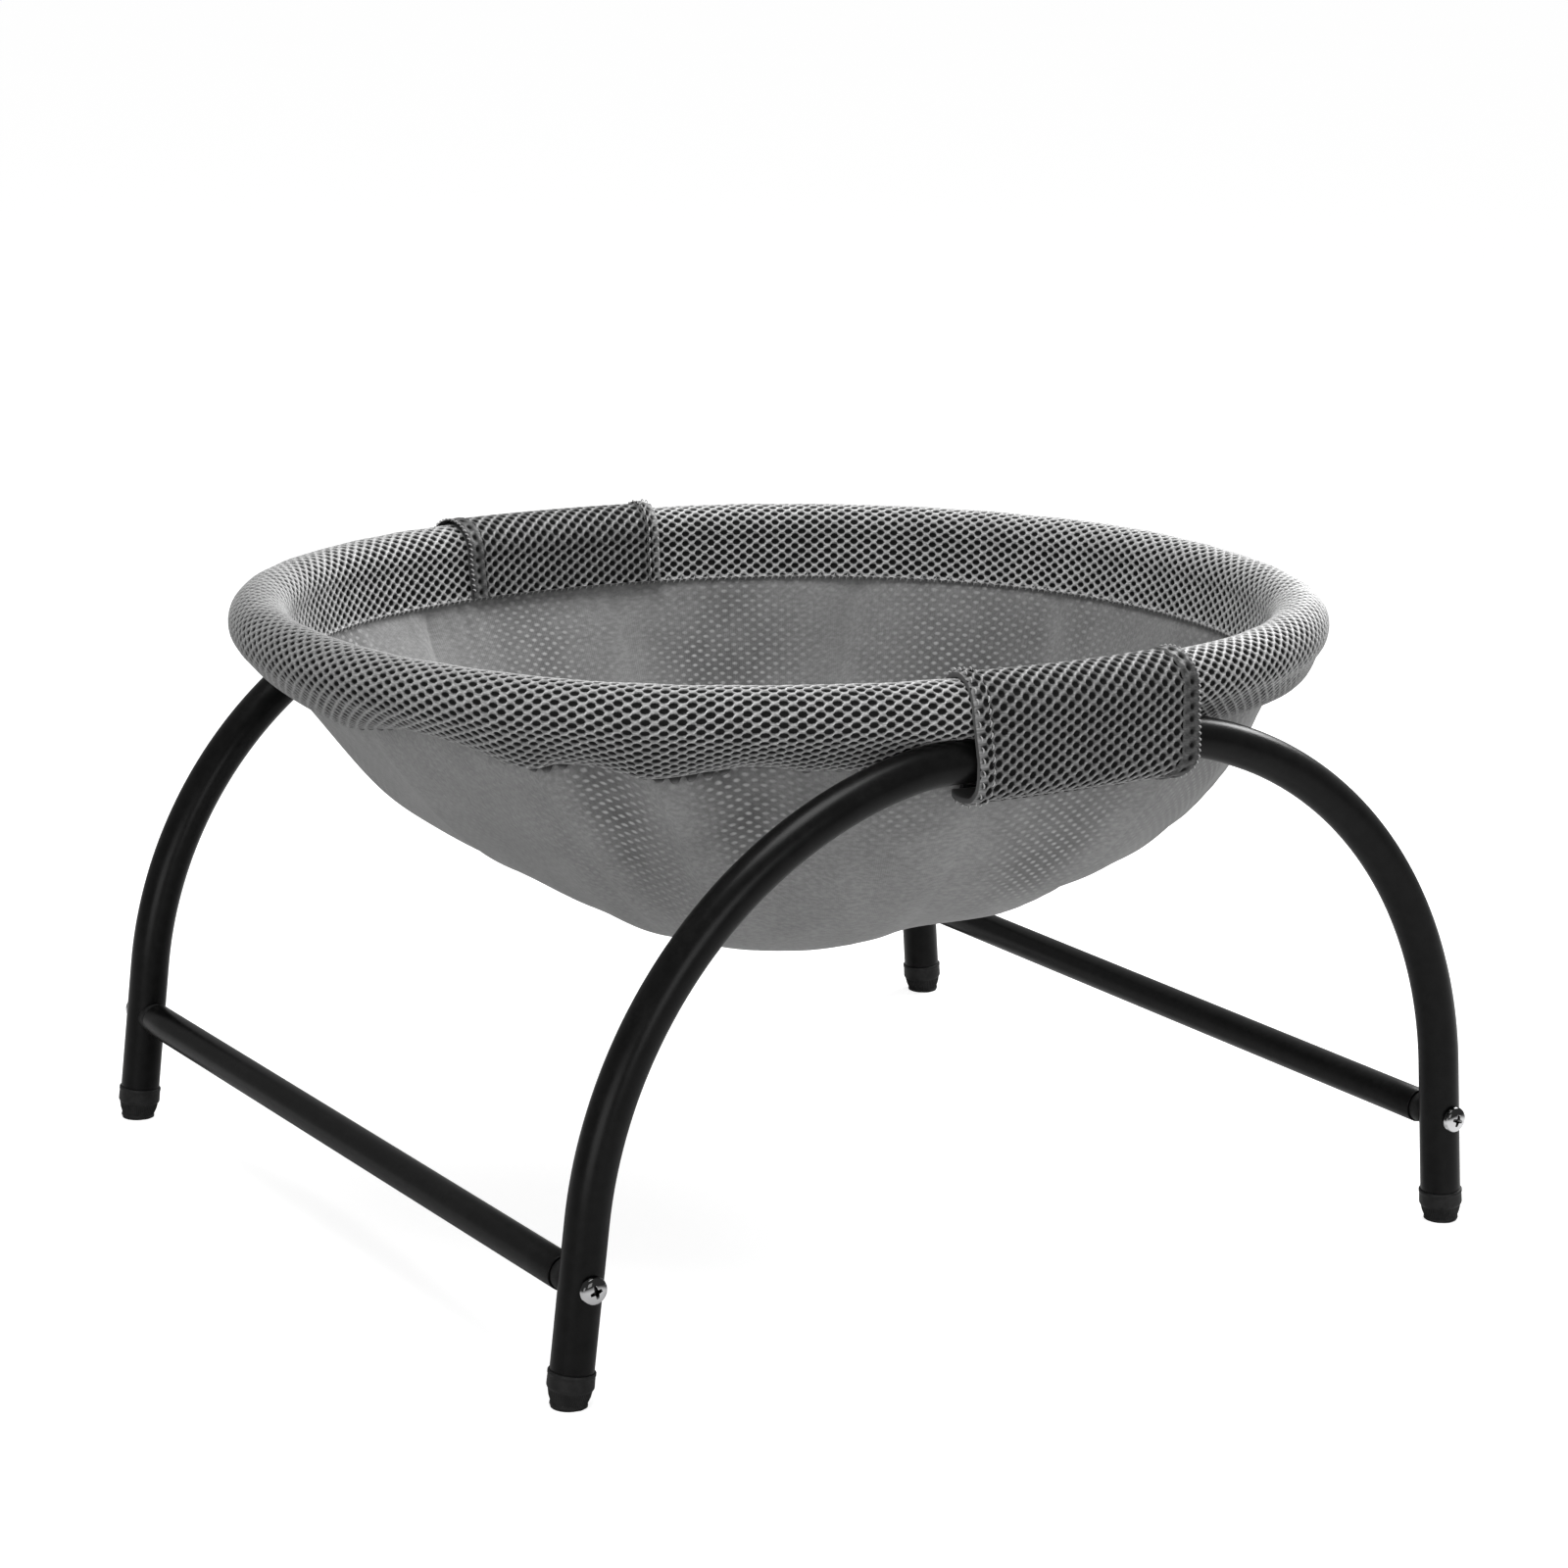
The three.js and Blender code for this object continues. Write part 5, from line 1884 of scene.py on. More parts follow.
@dataclass
class RimSleeve:
    """The padded knit sleeve round the hoop, and the two seams that hold the bowl."""

    finishes: Finishes
    bowl: BowlShape
    knit: Knit = Knit(KNIT_PITCH, RIM_HALF_ROW, 4.4 * MM, 3.0 * MM)
    columns: int = 202
    samples_a_column: int = 4
    arc_samples: int = 90
    skirt_samples: int = 24
    thickness: float = 2.5 * MM
    press: float = 0.35 * MM
    leave_limit: float = math.radians(-112)
    bellies: tuple[tuple[float, float], ...] = (
        (-180, 1.5), (-165, 2.0), (-140, 1.5), (-110, 0.9), (-60, 1.5), (-45, 4.4), (-30, 5.6),
        (-8, 4.2), (15, 2.0), (60, 0.9), (130, 0.9),
    )
    # Places where the painted shadow strip under the hem hangs lower: angle, width in degrees and extra
    # length in mm.
    hem_shadow_slots: tuple[tuple[float, float, float], ...] = (
        (-170, 4, 0.7), (-161, 4, 0.5), (-148, 2.2, 3.4), (-132.5, 4.0, 3.8), (-124, 5, 0.8), (-112, 6, 0.5),
    )
    belly_way: tuple[float, float] = (0.6, -0.8)
    belly_blur: int = 16
    # Where the cot's left side is along the rim: its strands get painted shade and its holes narrow.
    left_side: tuple[float, float] = (0.5, 0.09)
    # Where painted shade darkens the skirt most, right of the front.
    right_shade: tuple[float, float] = (0.91, 0.06)
    # Where the painted light and shade of the strands' slants shows, as a share along the rim and a width.
    front_painted_slants: tuple[float, float] = (0.64, 0.07)
    inner_angle: float = math.radians(190)
    across_samples: int = 150
    half_rows: int = 40

    def leaves(self, angle: Array, hem: Array) -> Array:
        """Where the outer skirt leaves the rim: further round beside an arch.

        Args:
            angle: Angles seen from above.
            hem: The outer hem's points there.

        Returns:
            Angles round the rim's tube, 0 outwards.
        """
        point = LAYOUT.hoop_point(angle)
        out = np.sum((hem - point) * LAYOUT.hoop_outward(point), -1)
        up = hem[:, 2] - point[:, 2]
        touch = np.arctan2(up, out) + np.arccos(LAYOUT.sleeve_radius / np.hypot(out, up))
        chosen = np.full_like(angle, self.leave_limit)
        free = np.zeros(len(angle), bool)
        for tried in np.arange(touch.max(), self.leave_limit, -math.radians(1)):
            leave = self.bowl.beside_hoop(
                angle,
                np.full_like(angle, LAYOUT.sleeve_radius * math.cos(tried)),
                LAYOUT.sleeve_radius * math.sin(tried),
            )
            shares = np.linspace(0, 1, 9)[:, None, None]
            line = hem[None] * (1 - shares) + leave[None] * shares
            gap = np.linalg.norm(line - LAYOUT.nearest_on_arch(line), axis=-1).min(0)
            clear = (gap >= LAYOUT.tube_radius + self.press) & (tried <= touch) & ~free
            chosen[clear] = tried
            free |= clear
        return blurred(chosen, self.samples_a_column * 3)

    def surface(self) -> Surface:
        """The sleeve's outer face.

        Returns:
            The face, along the rim and from its outer hem over the rim to its inner seam.
        """
        count = self.columns * self.samples_a_column
        angle = LAYOUT.hoop_angles(count)
        point = LAYOUT.hoop_point(angle)
        outward = LAYOUT.hoop_outward(point)
        hem = self.bowl.outside(angle, np.ones_like(angle)) + outward * (LAYOUT.fit_gap + self.thickness)
        seam = self.bowl.inner_seam(angle) - outward * self.thickness
        leave = self.leaves(angle, hem)
        places, amounts = np.array(self.bellies).T
        bellies = blurred(np.interp(np.degrees(angle), places, amounts, period=360), self.belly_blur) * MM
        plump = 1 + 0.012 * ripple(angle, 3, (2, 3, 5, 8, 13)) + 0.006 * ripple(angle, 4, (21, 34, 47))
        radius = LAYOUT.sleeve_radius * plump
        local_hem, local_seam = (
            np.stack([np.sum((line - point) * outward, -1), line[:, 2] - point[:, 2]], -1)
            for line in (hem, seam)
        )
        share = np.linspace(0, 1, self.skirt_samples)[:-1, None]
        sections = []
        for k in range(count):
            swing = np.linspace(leave[k], self.inner_angle, self.arc_samples)
            arc = radius[k] * np.stack([np.cos(swing), np.sin(swing)], -1)
            belly = bellies[k] * np.sin(math.pi * share) * np.array([self.belly_way])
            skirt = local_hem[k] * (1 - share) + arc[0] * share + belly
            inner = arc[-1] * (1 - share[1:]) + local_seam[k] * share[1:]
            whole = np.concatenate([skirt, arc, inner, local_seam[k:k + 1]])
            sections.append(respaced(whole, self.across_samples))
        flat = np.array(sections)
        grid = point[:, None] + outward[:, None] * flat[..., :1]
        grid[..., 2] += flat[..., 1]
        return Surface(LAYOUT.pressed_off(grid, self.press), loop=True)

    def _relief(self, along: Array, across: Array) -> Array:
        """The holes grow shallow, and their painted shade lighter, at both hems and a little on top of the
        rim.
        """
        hems = smooth_step(across, 0.0, 0.03) * smooth_step(1 - across, 0.0, 0.02)
        return (0.35 + 0.65 * hems) * (1 - 0.3 * hump(across, 0.62, 0.10))

    def _tone(self, along: Array, across: Array) -> Array:
        """Painted shade on the strands: darker down the skirts towards the outer hem, most at the right
        front, and at the left.

        Args:
            along: Shares along the rim.
            across: Shares across the sleeve.

        Returns:
            Shares of the palest tone.
        """
        # Painted shade: the skirt darkens towards its outer hem, down to none of the pale tone at the right
        # front.
        skirt_shade_tone = 0.45 - 0.45 * hump(along, *self.right_shade)
        skirt = skirt_shade_tone + (1 - skirt_shade_tone) * smooth_step(across, 0.05, 0.35)
        return skirt * (1 - 0.7 * hump(along, *self.left_side))

    def _opening(self, along: Array) -> Array:
        """The holes are narrower at the cot's two sides."""
        from_right = np.minimum(along % 1.0, 1 - along % 1.0)
        return 1 - 0.24 * hump(along, *self.left_side) - 0.12 * hump(from_right, 0, 0.12)

    def _calm(self, along: Array, across: Array) -> Array:
        """The painted light and shade of the strands' slants show only in front of the cot, on the rim's
        lower part.
        """
        return 1 - hump(along % 1.0, *self.front_painted_slants) * (1 - smooth_step(across, 0.35, 0.6))

    def build(self) -> list[bpy.types.Object]:
        """Makes the sleeve in two halves, with its lining and its seams.

        Returns:
            The halves and the seams' thread.
        """
        surface = self.surface()
        return [self.half(surface, End.REAR), self.half(surface, End.FRONT), self.seams(surface)]

    def half(self, surface: Surface, end: End) -> bpy.types.Object:
        """Makes half the sleeve.

        Args:
            surface: The sleeve's outer face.
            end: Which half.

        Returns:
            The half.
        """
        def within(share: Array) -> Array:
            """Which shares along the rim are in this half."""
            return (share % 1.0 < 0.5) == (end is End.REAR)

        draft = Draft()
        self.knit.add_to(
            draft, surface, self.columns, self.half_rows, 11, self._relief, self._tone, only=within,
            opening=self._opening, calm=self._calm,
        )
        start = 0.0 if end is End.REAR else 0.5
        self._line(draft, surface, start)
        self._hem_shadow(draft, surface, start)
        piece = draft.build(f"rim_knit_{end.title}")
        nodes = ("rim_sleeve",) if end is End.FRONT else ()
        self.finishes.settle(piece, "cot", Slot.RIM, *nodes)
        return piece

    def _line(self, draft: Draft, surface: Surface, start: float) -> None:
        """Adds the lining of half the sleeve.

        Args:
            draft: The mesh to add to.
            surface: The sleeve's outer face.
            start: The share along the rim where the half starts.
        """
        along, across = start + np.linspace(0, 0.5, 241), np.linspace(0, 1, 41)
        points, normals = surface.at(*np.meshgrid(along, across, indexing="ij"))
        top = points - normals * self.knit.strand_drop
        rows = np.concatenate([top[:, :1], points - normals * self.thickness, top[:, -1:]], axis=1)
        # The lining is painted with full shade.
        draft.grid(rows, flip=True, pit=1.0, tone=0.3, cloth=np.zeros(rows.shape))

    def _hem_shadow(self, draft: Draft, surface: Surface, start: float) -> None:
        """Adds the lining's edge, carried down past the outer hem in dashes as a black strip of painted
        shadow for the gap between the hem and the bowl.

        Args:
            draft: The mesh to add to.
            surface: The sleeve's outer face.
            start: The share along the rim where the half starts.
        """
        along = start + np.linspace(0, 0.5, self.columns * self.samples_a_column + 1)
        hem, normals = surface.at(along, np.zeros_like(along))
        skirt, _ = surface.at(along, np.full_like(along, 0.01))
        dashes = np.clip(0.75 + 0.6 * np.cos(along * self.columns * FULL_TURN), 0.15, 1)
        shown = self.hem_shadow_drop(np.arctan2(hem[:, 1], hem[:, 0])) * dashes
        below = unit(unit(hem - skirt) - (0, 0, 2)) * shown[:, None]
        top = hem - normals * self.knit.strand_drop
        # Painted shadow: the lining's edge is carried down past the hem as a black strip.
        edge = np.stack([top, top + below, hem - normals * self.thickness + below], axis=1)
        draft.grid(edge, flip=True, pit=1.0, tone=0.3, cloth=np.zeros(edge.shape))

    def hem_shadow_drop(self, angle: Array) -> Array:
        """How far the strip of painted shadow hangs below the outer hem.

        Args:
            angle: Angles seen from above.

        Returns:
            The lengths that show.
        """
        total = 0.6 * MM * (1 + 0.5 * ripple(angle, 8, (41, 67, 89, 107)))
        for at, width, depth in self.hem_shadow_slots:
            total += depth * MM * np.exp(-(turned(angle, at, width) ** 4))
        return total

    def seams(self, surface: Surface) -> bpy.types.Object:
        """Makes the overlocked seams under the rim and inside it.

        Args:
            surface: The sleeve's outer face.

        Returns:
            Both seams' thread.
        """
        draft = Draft()
        sewing = Stitching(0.24 * MM, 3.0 * MM, 3.6 * MM, 0.15 * MM)
        along = np.linspace(0, 1, 2400)
        for share, seed, away in ((0.0, 21, 1), (1.0, 22, -1)):
            line, normals = surface.at(along, np.full_like(along, share))
            beside, _ = surface.at(along, np.full_like(along, share + away * 0.01))
            across = unit(line - beside)
            line = line - normals * (1.1 * MM if away > 0 else 0.4 * MM) + across * 0.3 * MM
            for slant in (1.15, -0.15):
                sewing.add_to(draft, line, normals, across, slant, seed + int(slant * 10))
        piece = draft.build("rim_seam_thread")
        piece.data.materials.append(self.finishes.seam_thread)
        return settle(piece, "cot", Slot.RIM)


@dataclass(frozen=True)
class SideHem:
    """A folded hem down the side of a wrap, with one column of small holes."""

    width: float
    rise: float
    hole_place: float
    hole_width: float
    hole_height: float
    depth: float
    tone: float
    roll: float = 0.8 * MM
    sink: float = 0.5 * MM
    samples: tuple[int, int] = (40, 170)

    def add_to(
        self,
        draft: Draft,
        surface: Surface,
        start: float,
        end: float,
        half_rows: int,
        half_row: float,
        seed: int,
    ) -> None:
        """Lays the hem on a wrap.

        Args:
            draft: The mesh to add to.
            surface: The wrap's outer face.
            start: The share along the wrap where the hem's outer edge is.
            end: The share where its inner edge is.
            half_rows: Half rows of the wrap's knit.
            half_row: Their height.
            seed: Which unevenness to draw.
        """
        reach = np.linspace(0, 1, self.samples[0]) ** (math.log(self.hole_place) / math.log(0.5))
        height = self.rise * np.clip(reach * self.width / self.roll, 0, 1) ** 0.5
        height *= 1 + 0.25 * hump(reach, 0.93, 0.05)
        height -= (self.rise + self.sink) * smooth_step(reach, 0.96, 1.0)
        v = np.linspace(0, 1, self.samples[1])
        points, normals = surface.at(*np.meshgrid(start + (end - start) * reach, v, indexing="ij"))
        points = points + normals * height[:, None, None]
        if end < start:
            points = points[::-1]
        knit = Knit(self.width, half_row, self.hole_width, self.hole_height, depth=self.depth, knot_rise=0.0)
        knit.add_to(
            draft, Surface(points, loop=False, inward=True), 1, half_rows, seed,
            lambda u, _: smooth_step(np.minimum(u, 1 - u), 0.02, 0.2),
            lambda u, _: np.full_like(u, self.tone), flip=True,
        )


@dataclass
class Wraps:
    """The knit wraps over the rim and round the arches, with their flaps and tapes."""

    finishes: Finishes
    bowl: BowlShape
    knit: Knit = Knit(KNIT_PITCH, WRAP_HALF_ROW, 3.6 * MM, 3.05 * MM)
    left_reach: float = 49.5 * MM
    right_reach: float = 69 * MM
    thickness: float = 2.2 * MM
    left_hem: SideHem = SideHem(7 * MM, 1.2 * MM, 0.76, 3.8 * MM, 3.2 * MM, 1.6 * MM, 0.95)
    right_hem: SideHem = SideHem(9.5 * MM, 0.7 * MM, 0.5, 2.4 * MM, 2.4 * MM, 1.4 * MM, 0.1)
    flap_inset: float = 7.9 * MM
    top_angle: float = math.radians(188)
    hinge_angle: float = math.radians(-25)
    slack_angle: float = math.radians(-8)
    slack_path: tuple[tuple[float, float], ...] = (
        (10.2 * MM, -6 * MM), (9.2 * MM, -11 * MM), (5.5 * MM, -15.2 * MM), (0.0, -16.2 * MM),
        (-6 * MM, -16 * MM), (-12 * MM, -15.2 * MM), (-15.6 * MM, -16.4 * MM),
    )
    flap_shares: tuple[float, float] = (0.979, 0.963)
    strip_shares: tuple[float, float] = (0.981, 0.965)
    strip_thickness: float = 1.2 * MM
    strip_side_inset: float = 4 * MM
    loop_pile: float = 0.35 * MM
    hook_pile: float = 0.45 * MM
    tape_samples: tuple[int, int] = (190, 26)
    blend_top: float = 253.5 * MM
    blend_bottom: float = 247.0 * MM
    blend_place: tuple[float, float] = (9 * MM, 230 * MM)
    skirt_thickness: float = 2.5 * MM
    softening: float = 2.2 * MM
    rounding: float = 3 * MM
    knit_thickness: float = 0.5 * MM
    hem_overlap: float = 0.004
    over_samples: int = 60
    grip_samples: int = 30
    patch_samples: int = 8
    stations: int = 97
    across_samples: int = 170

    def rim_angle(self, x: Array) -> Array:
        """Angles seen from above of places along the front of the rim.

        Args:
            x: Their distances from the cot's middle, along the arches.

        Returns:
            The angles.
        """
        power = LAYOUT.hoop_squareness
        share = (1 - (np.abs(x) / (LAYOUT.hoop_length / 2)) ** power) ** (1 / power)
        return np.arctan2(-share * LAYOUT.hoop_depth / 2, x)

    def section(self, x: float) -> Array:
        """Inner face of a front wrap at one place, from its inner seam to its flap's end.

        Args:
            x: Distance along the wrap from the cot's middle.

        Returns:
            Points of the section, evenly spaced.
        """
        angle = self.rim_angle(np.array([x]))
        rim = LAYOUT.hoop_point(angle)[0]
        outward = LAYOUT.hoop_outward(rim[None])[0]
        centre = LAYOUT.nearest_on_arch(np.array([[x, -LAYOUT.arch_plane, LAYOUT.arch_height]]))[0]
        seam = self.bowl.inner_seam(angle)[0] - outward * (self.skirt_thickness + LAYOUT.fit_gap)
        away = abs(centre[1]) - abs(rim[1])
        down = centre[2] - rim[2]
        rise = LAYOUT.sleeve_radius - LAYOUT.tube_radius
        tangent = math.atan2(down, away) + math.acos(rise / math.hypot(away, down))
        swing = np.linspace(self.top_angle, tangent, self.over_samples)[:, None]
        radius = LAYOUT.sleeve_radius + LAYOUT.fit_gap
        over = rim + radius * (np.cos(swing) * outward + np.sin(swing) * np.array([0, 0, 1]))
        grip = np.linspace(tangent, self.slack_angle, self.grip_samples)
        radius = LAYOUT.tube_radius + 2 * LAYOUT.fit_gap
        grip = centre + radius * np.stack([np.zeros_like(grip), -np.cos(grip), np.sin(grip)], -1)
        slack = centre + np.array([(0.0, -out, up) for out, up in self.slack_path])
        seat = 3 * LAYOUT.fit_gap + 2 * self.strip_thickness
        shares = np.linspace(*self.flap_shares, self.patch_samples)
        patch = self.bowl_patch(np.array([x]), shares, seat)[0]
        path = respaced(np.concatenate([seam[None], over, grip, slack, patch]), self.across_samples)
        reach = int(self.softening / (path_lengths(path)[-1] / self.across_samples))
        before, after = (np.repeat(part, 2 * reach, 0) for part in (path[:1], path[-1:]))
        padded = np.concatenate([before, path, after])
        kernel = np.exp(-((np.arange(-2 * reach, 2 * reach + 1) / reach) ** 2))
        kernel /= kernel.sum()
        soft = np.stack([np.convolve(column, kernel, "valid") for column in padded.T], -1)
        v = np.linspace(0, 1, self.across_samples)
        lower = (smooth_step(v, 0.52, 0.62) * smooth_step(1 - v, 0.0, 0.04))[:, None]
        return path * (1 - lower) + soft * lower

    def bowl_patch(self, x: Array, shares: Array, lift: float) -> Array:
        """Part of the bowl's outside under a front flap, lifted off it.

        Args:
            x: Distances along the flap.
            shares: The bowl's shares, from its hem inwards.
            lift: Height over the bowl's outside.

        Returns:
            A grid of points.
        """
        wide_x = np.concatenate([[x[0] - MM], x, [x[-1] + MM]])
        wide_shares = np.concatenate([[shares[0] + 0.004], shares, [shares[-1] - 0.004]])
        angle = self.rim_angle(wide_x)
        a, s = np.meshgrid(angle, wide_shares, indexing="ij")
        points = self.bowl.outside(a, s)
        normal = unit(np.cross(np.gradient(points, axis=1), np.gradient(points, axis=0)))
        return (points + normal * lift)[1:-1, 1:-1]

    def outline(self, v: Array, hinge: float) -> tuple[Array, Array]:
        """Where the wrap's side edges are: they curve in to the narrower flap.

        Args:
            v: Shares of the wrap's length.
            hinge: Share at which the flap starts.

        Returns:
            Distances of the left and right edges along the wrap.
        """
        inset = self.flap_inset
        in_left = smooth_step(v, hinge + 0.14, hinge + 0.30)
        in_right = smooth_step(v, hinge - 0.02, hinge + 0.12)
        tip = self.rounding * smooth_step(v, 0.95, 1.0)
        return -self.left_reach + inset * in_left + tip, self.right_reach - inset * in_right - tip

    def sheets(self) -> tuple[Array, Array, float]:
        """The front wrap's two faces.

        Returns:
            The inner face, the outer one, and the wrap's length over the rim.
        """
        places = np.linspace(-self.left_reach - MM, self.right_reach + MM, self.stations)
        table = np.array([self.section(float(x)) for x in places])
        length = float(np.mean([path_lengths(section)[-1] for section in table]))
        middle = table[len(table) // 2]
        hinge_z = LAYOUT.arch_height + LAYOUT.tube_radius * math.sin(self.hinge_angle)
        lower = np.flatnonzero((middle[:, 2] < hinge_z) & (middle[:, 1] < -LAYOUT.arch_plane))
        hinge = float(lower[0]) / (len(middle) - 1)
        v = np.linspace(0, 1, self.across_samples)
        left, right = self.outline(v, hinge)
        u = np.linspace(0, 1, self.stations)[:, None]
        x = left[None] * (1 - u) + right[None] * u
        step = (x - places[0]) / (places[1] - places[0])
        low = np.clip(np.floor(step).astype(int), 0, len(places) - 2)
        part = (step - low)[..., None]
        column = np.arange(self.across_samples)[None]
        inner = table[low, column] * (1 - part) + table[low + 1, column] * part
        normals = Surface(inner, loop=False, inward=True).normals
        return inner, inner + normals * self.thickness, length

    def _relief(self, along: Array, across: Array) -> Array:
        """The holes are shallow where the cloth ends."""
        return 0.4 + 0.6 * smooth_step(1 - across, 0.0, 0.03)

    def _tone(self, along: Array, across: Array) -> Array:
        """Painted shade darkens the strands in the groove beside each hem."""
        return 0.55 + 0.45 * smooth_step(np.minimum(along, 1 - along), 0.0, 0.05)

    def cloth(self, end: End, surface: Surface, inner: Array, half_rows: int) -> bpy.types.Object:
        """Makes a wrap and its flap as one cloth that bends beside the arch.

        Args:
            end: Which end of the cot it is at.
            surface: The front wrap's outer face.
            inner: Its inner face.
            half_rows: Half rows of its knit.

        Returns:
            The cloth.
        """
        outer = surface.points
        width = self.left_reach + self.right_reach
        low, high = self.left_hem.width / width, 1 - self.right_hem.width / width
        draft = Draft()
        shares = np.linspace(low - self.hem_overlap, high + self.hem_overlap, 80)
        v = np.linspace(0, 1, self.across_samples)
        points, _ = surface.at(*np.meshgrid(shares, v, indexing="ij"))
        columns = int(round((high - low) * width / self.knit.pitch))
        self.knit.add_to(
            draft, Surface(points, loop=False, inward=True), columns, half_rows, 31 + end.value,
            self._relief, self._tone, flip=True,
        )
        self.left_hem.add_to(draft, surface, 0.0, low, half_rows, self.knit.half_row, 61)
        self.right_hem.add_to(draft, surface, 1.0, high, half_rows, self.knit.half_row, 62)
        top = outer - surface.normals * self.knit_thickness
        back = np.concatenate([outer[:, :1], top[:, :1], inner, top[:, -1:], outer[:, -1:]], axis=1)
        side = np.pad(outer[:1], ((0, 0), (2, 2), (0, 0)), mode="edge")
        back = np.concatenate([side, back])
        # The wrap's back and side edges get a little painted shade.
        draft.grid(back, pit=0.2, tone=0.5, cloth=np.zeros(back.shape))
        piece = self.finishes.dress(draft.build(f"{end.title}_wrap_cloth"), Slot.WRAP)
        self._bend(piece, end)
        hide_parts(f"{end.title}_wrap", f"{end.title}_wrap_flap")
        return piece

    def _bend(self, piece: bpy.types.Object, end: End) -> None:
        """Puts a piece at its end, turned round at the rear, and bakes its place into its mesh.

        Args:
            piece: The piece, as it is at the front.
            end: Which end of the cot it belongs to.
        """
        self._turn(piece, end)
        x, y = self.blend_place
        start, finish = (
            (-end.value * x, end.value * y, height) for height in (self.blend_top, self.blend_bottom)
        )
        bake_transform(piece)
        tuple(start)
        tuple(finish)
        log.info("%s: %d faces, bends to %s_flap", piece.name, len(piece.data.polygons), end.title)

    @staticmethod
    def _turn(piece: bpy.types.Object, end: End) -> None:
        """Turns a front piece round to the rear where it belongs there."""
        if end is End.REAR:
            piece.data.transform(Matrix.Rotation(math.pi, 4, "Z"))

    def threads(self, end: End, surface: Surface) -> bpy.types.Object:
        """Makes the stitches that hold a wrap's side hems.

        Args:
            end: Which end of the cot they are at.
            surface: The front wrap's outer face.

        Returns:
            The stitches.
        """
        draft = Draft()
        width = self.left_reach + self.right_reach
        v = np.linspace(0.02, 0.98, 400)
        rows = (
            (1.3 * MM, self.left_hem.rise + 0.1 * MM, 5.2 * MM, 2.6 * MM, 0.10, 41),
            (width - 0.4 * MM, 0.3 * MM, 2.6 * MM, 2.0 * MM, 0.8, 42),
            (self.left_hem.width - 0.5 * MM, self.left_hem.rise, 5.2 * MM, 2.8 * MM, -0.25, 44),
        )
        for reach, rise, pitch, size, slant, seed in rows:
            share = np.full_like(v, reach / width)
            line, normals = surface.at(share, v)
            beside, _ = surface.at(share + 0.01, v)
            sewing = Stitching(0.34 * MM, size, pitch, 0.15 * MM)
            sewing.add_to(draft, line + normals * rise, normals, unit(beside - line), slant, seed)
        piece = draft.build(f"{end.title}_wrap_thread")
        piece.data.materials.append(self.finishes.seam_thread)
        self._bend(piece, end)
        return piece

    def tape(self, end: End, word: str, lift: float, body: str) -> bpy.types.Object:
        """Makes a strip of hook or loop tape with its woven edges and its pile.

        Args:
            end: Which end of the cot it is on.
            word: "hook" or "loop".
            lift: Height of its underside over the bowl.
            body: The body that it rides on.

        Returns:
            The strip.
        """
        inset = self.flap_inset + self.strip_side_inset
        size = self.tape_samples
        x = np.linspace(-self.left_reach + inset, self.right_reach - inset, size[0])
        shares = np.linspace(*self.strip_shares, size[1])
        outer = self.bowl_patch(x, shares, lift + self.strip_thickness)
        inner = self.bowl_patch(x, shares, lift)
        pile_out = word == "loop"
        draw = np.random.default_rng(51 if pile_out else 52)
        depth = self.loop_pile if pile_out else self.hook_pile
        within = np.pad(np.ones((size[0] - 6, size[1] - 6)), 3)
        pile = depth * within * draw.random(size)
        face = unit(outer - inner)
        if pile_out:
            outer = outer - face * pile[..., None]
        else:
            inner = inner + face * pile[..., None]
        draft = Draft()
        top = draft.grid(outer, flip=True)
        low = draft.grid(inner)
        for edge, flip in ((0, False), (-1, True)):
            draft.bridge(top[edge], low[edge], flip=flip)
        for edge, flip in ((0, True), (-1, False)):
            draft.bridge(top[:, edge], low[:, edge], flip=flip)
        piece = draft.build(f"{end.title}_{word}_tape", math.radians(50))
        self._turn(piece, end)
        return self.finishes.settle(piece, body, Slot.TAPE, f"{end.title}_{word}_strip")

    def build(self) -> None:
        """Makes the wraps at both ends."""
        inner, outer, length = self.sheets()
        surface = Surface(outer, loop=False, inward=True)
        half_rows = int(round(length / self.knit.half_row))
        hook_lift = 2 * LAYOUT.fit_gap + self.strip_thickness
        for end in End:
            self.cloth(end, surface, inner, half_rows)
            self.threads(end, surface)
            self.tape(end, "loop", LAYOUT.fit_gap, "cot")
            self.tape(end, "hook", hook_lift, f"{end.title}_flap")


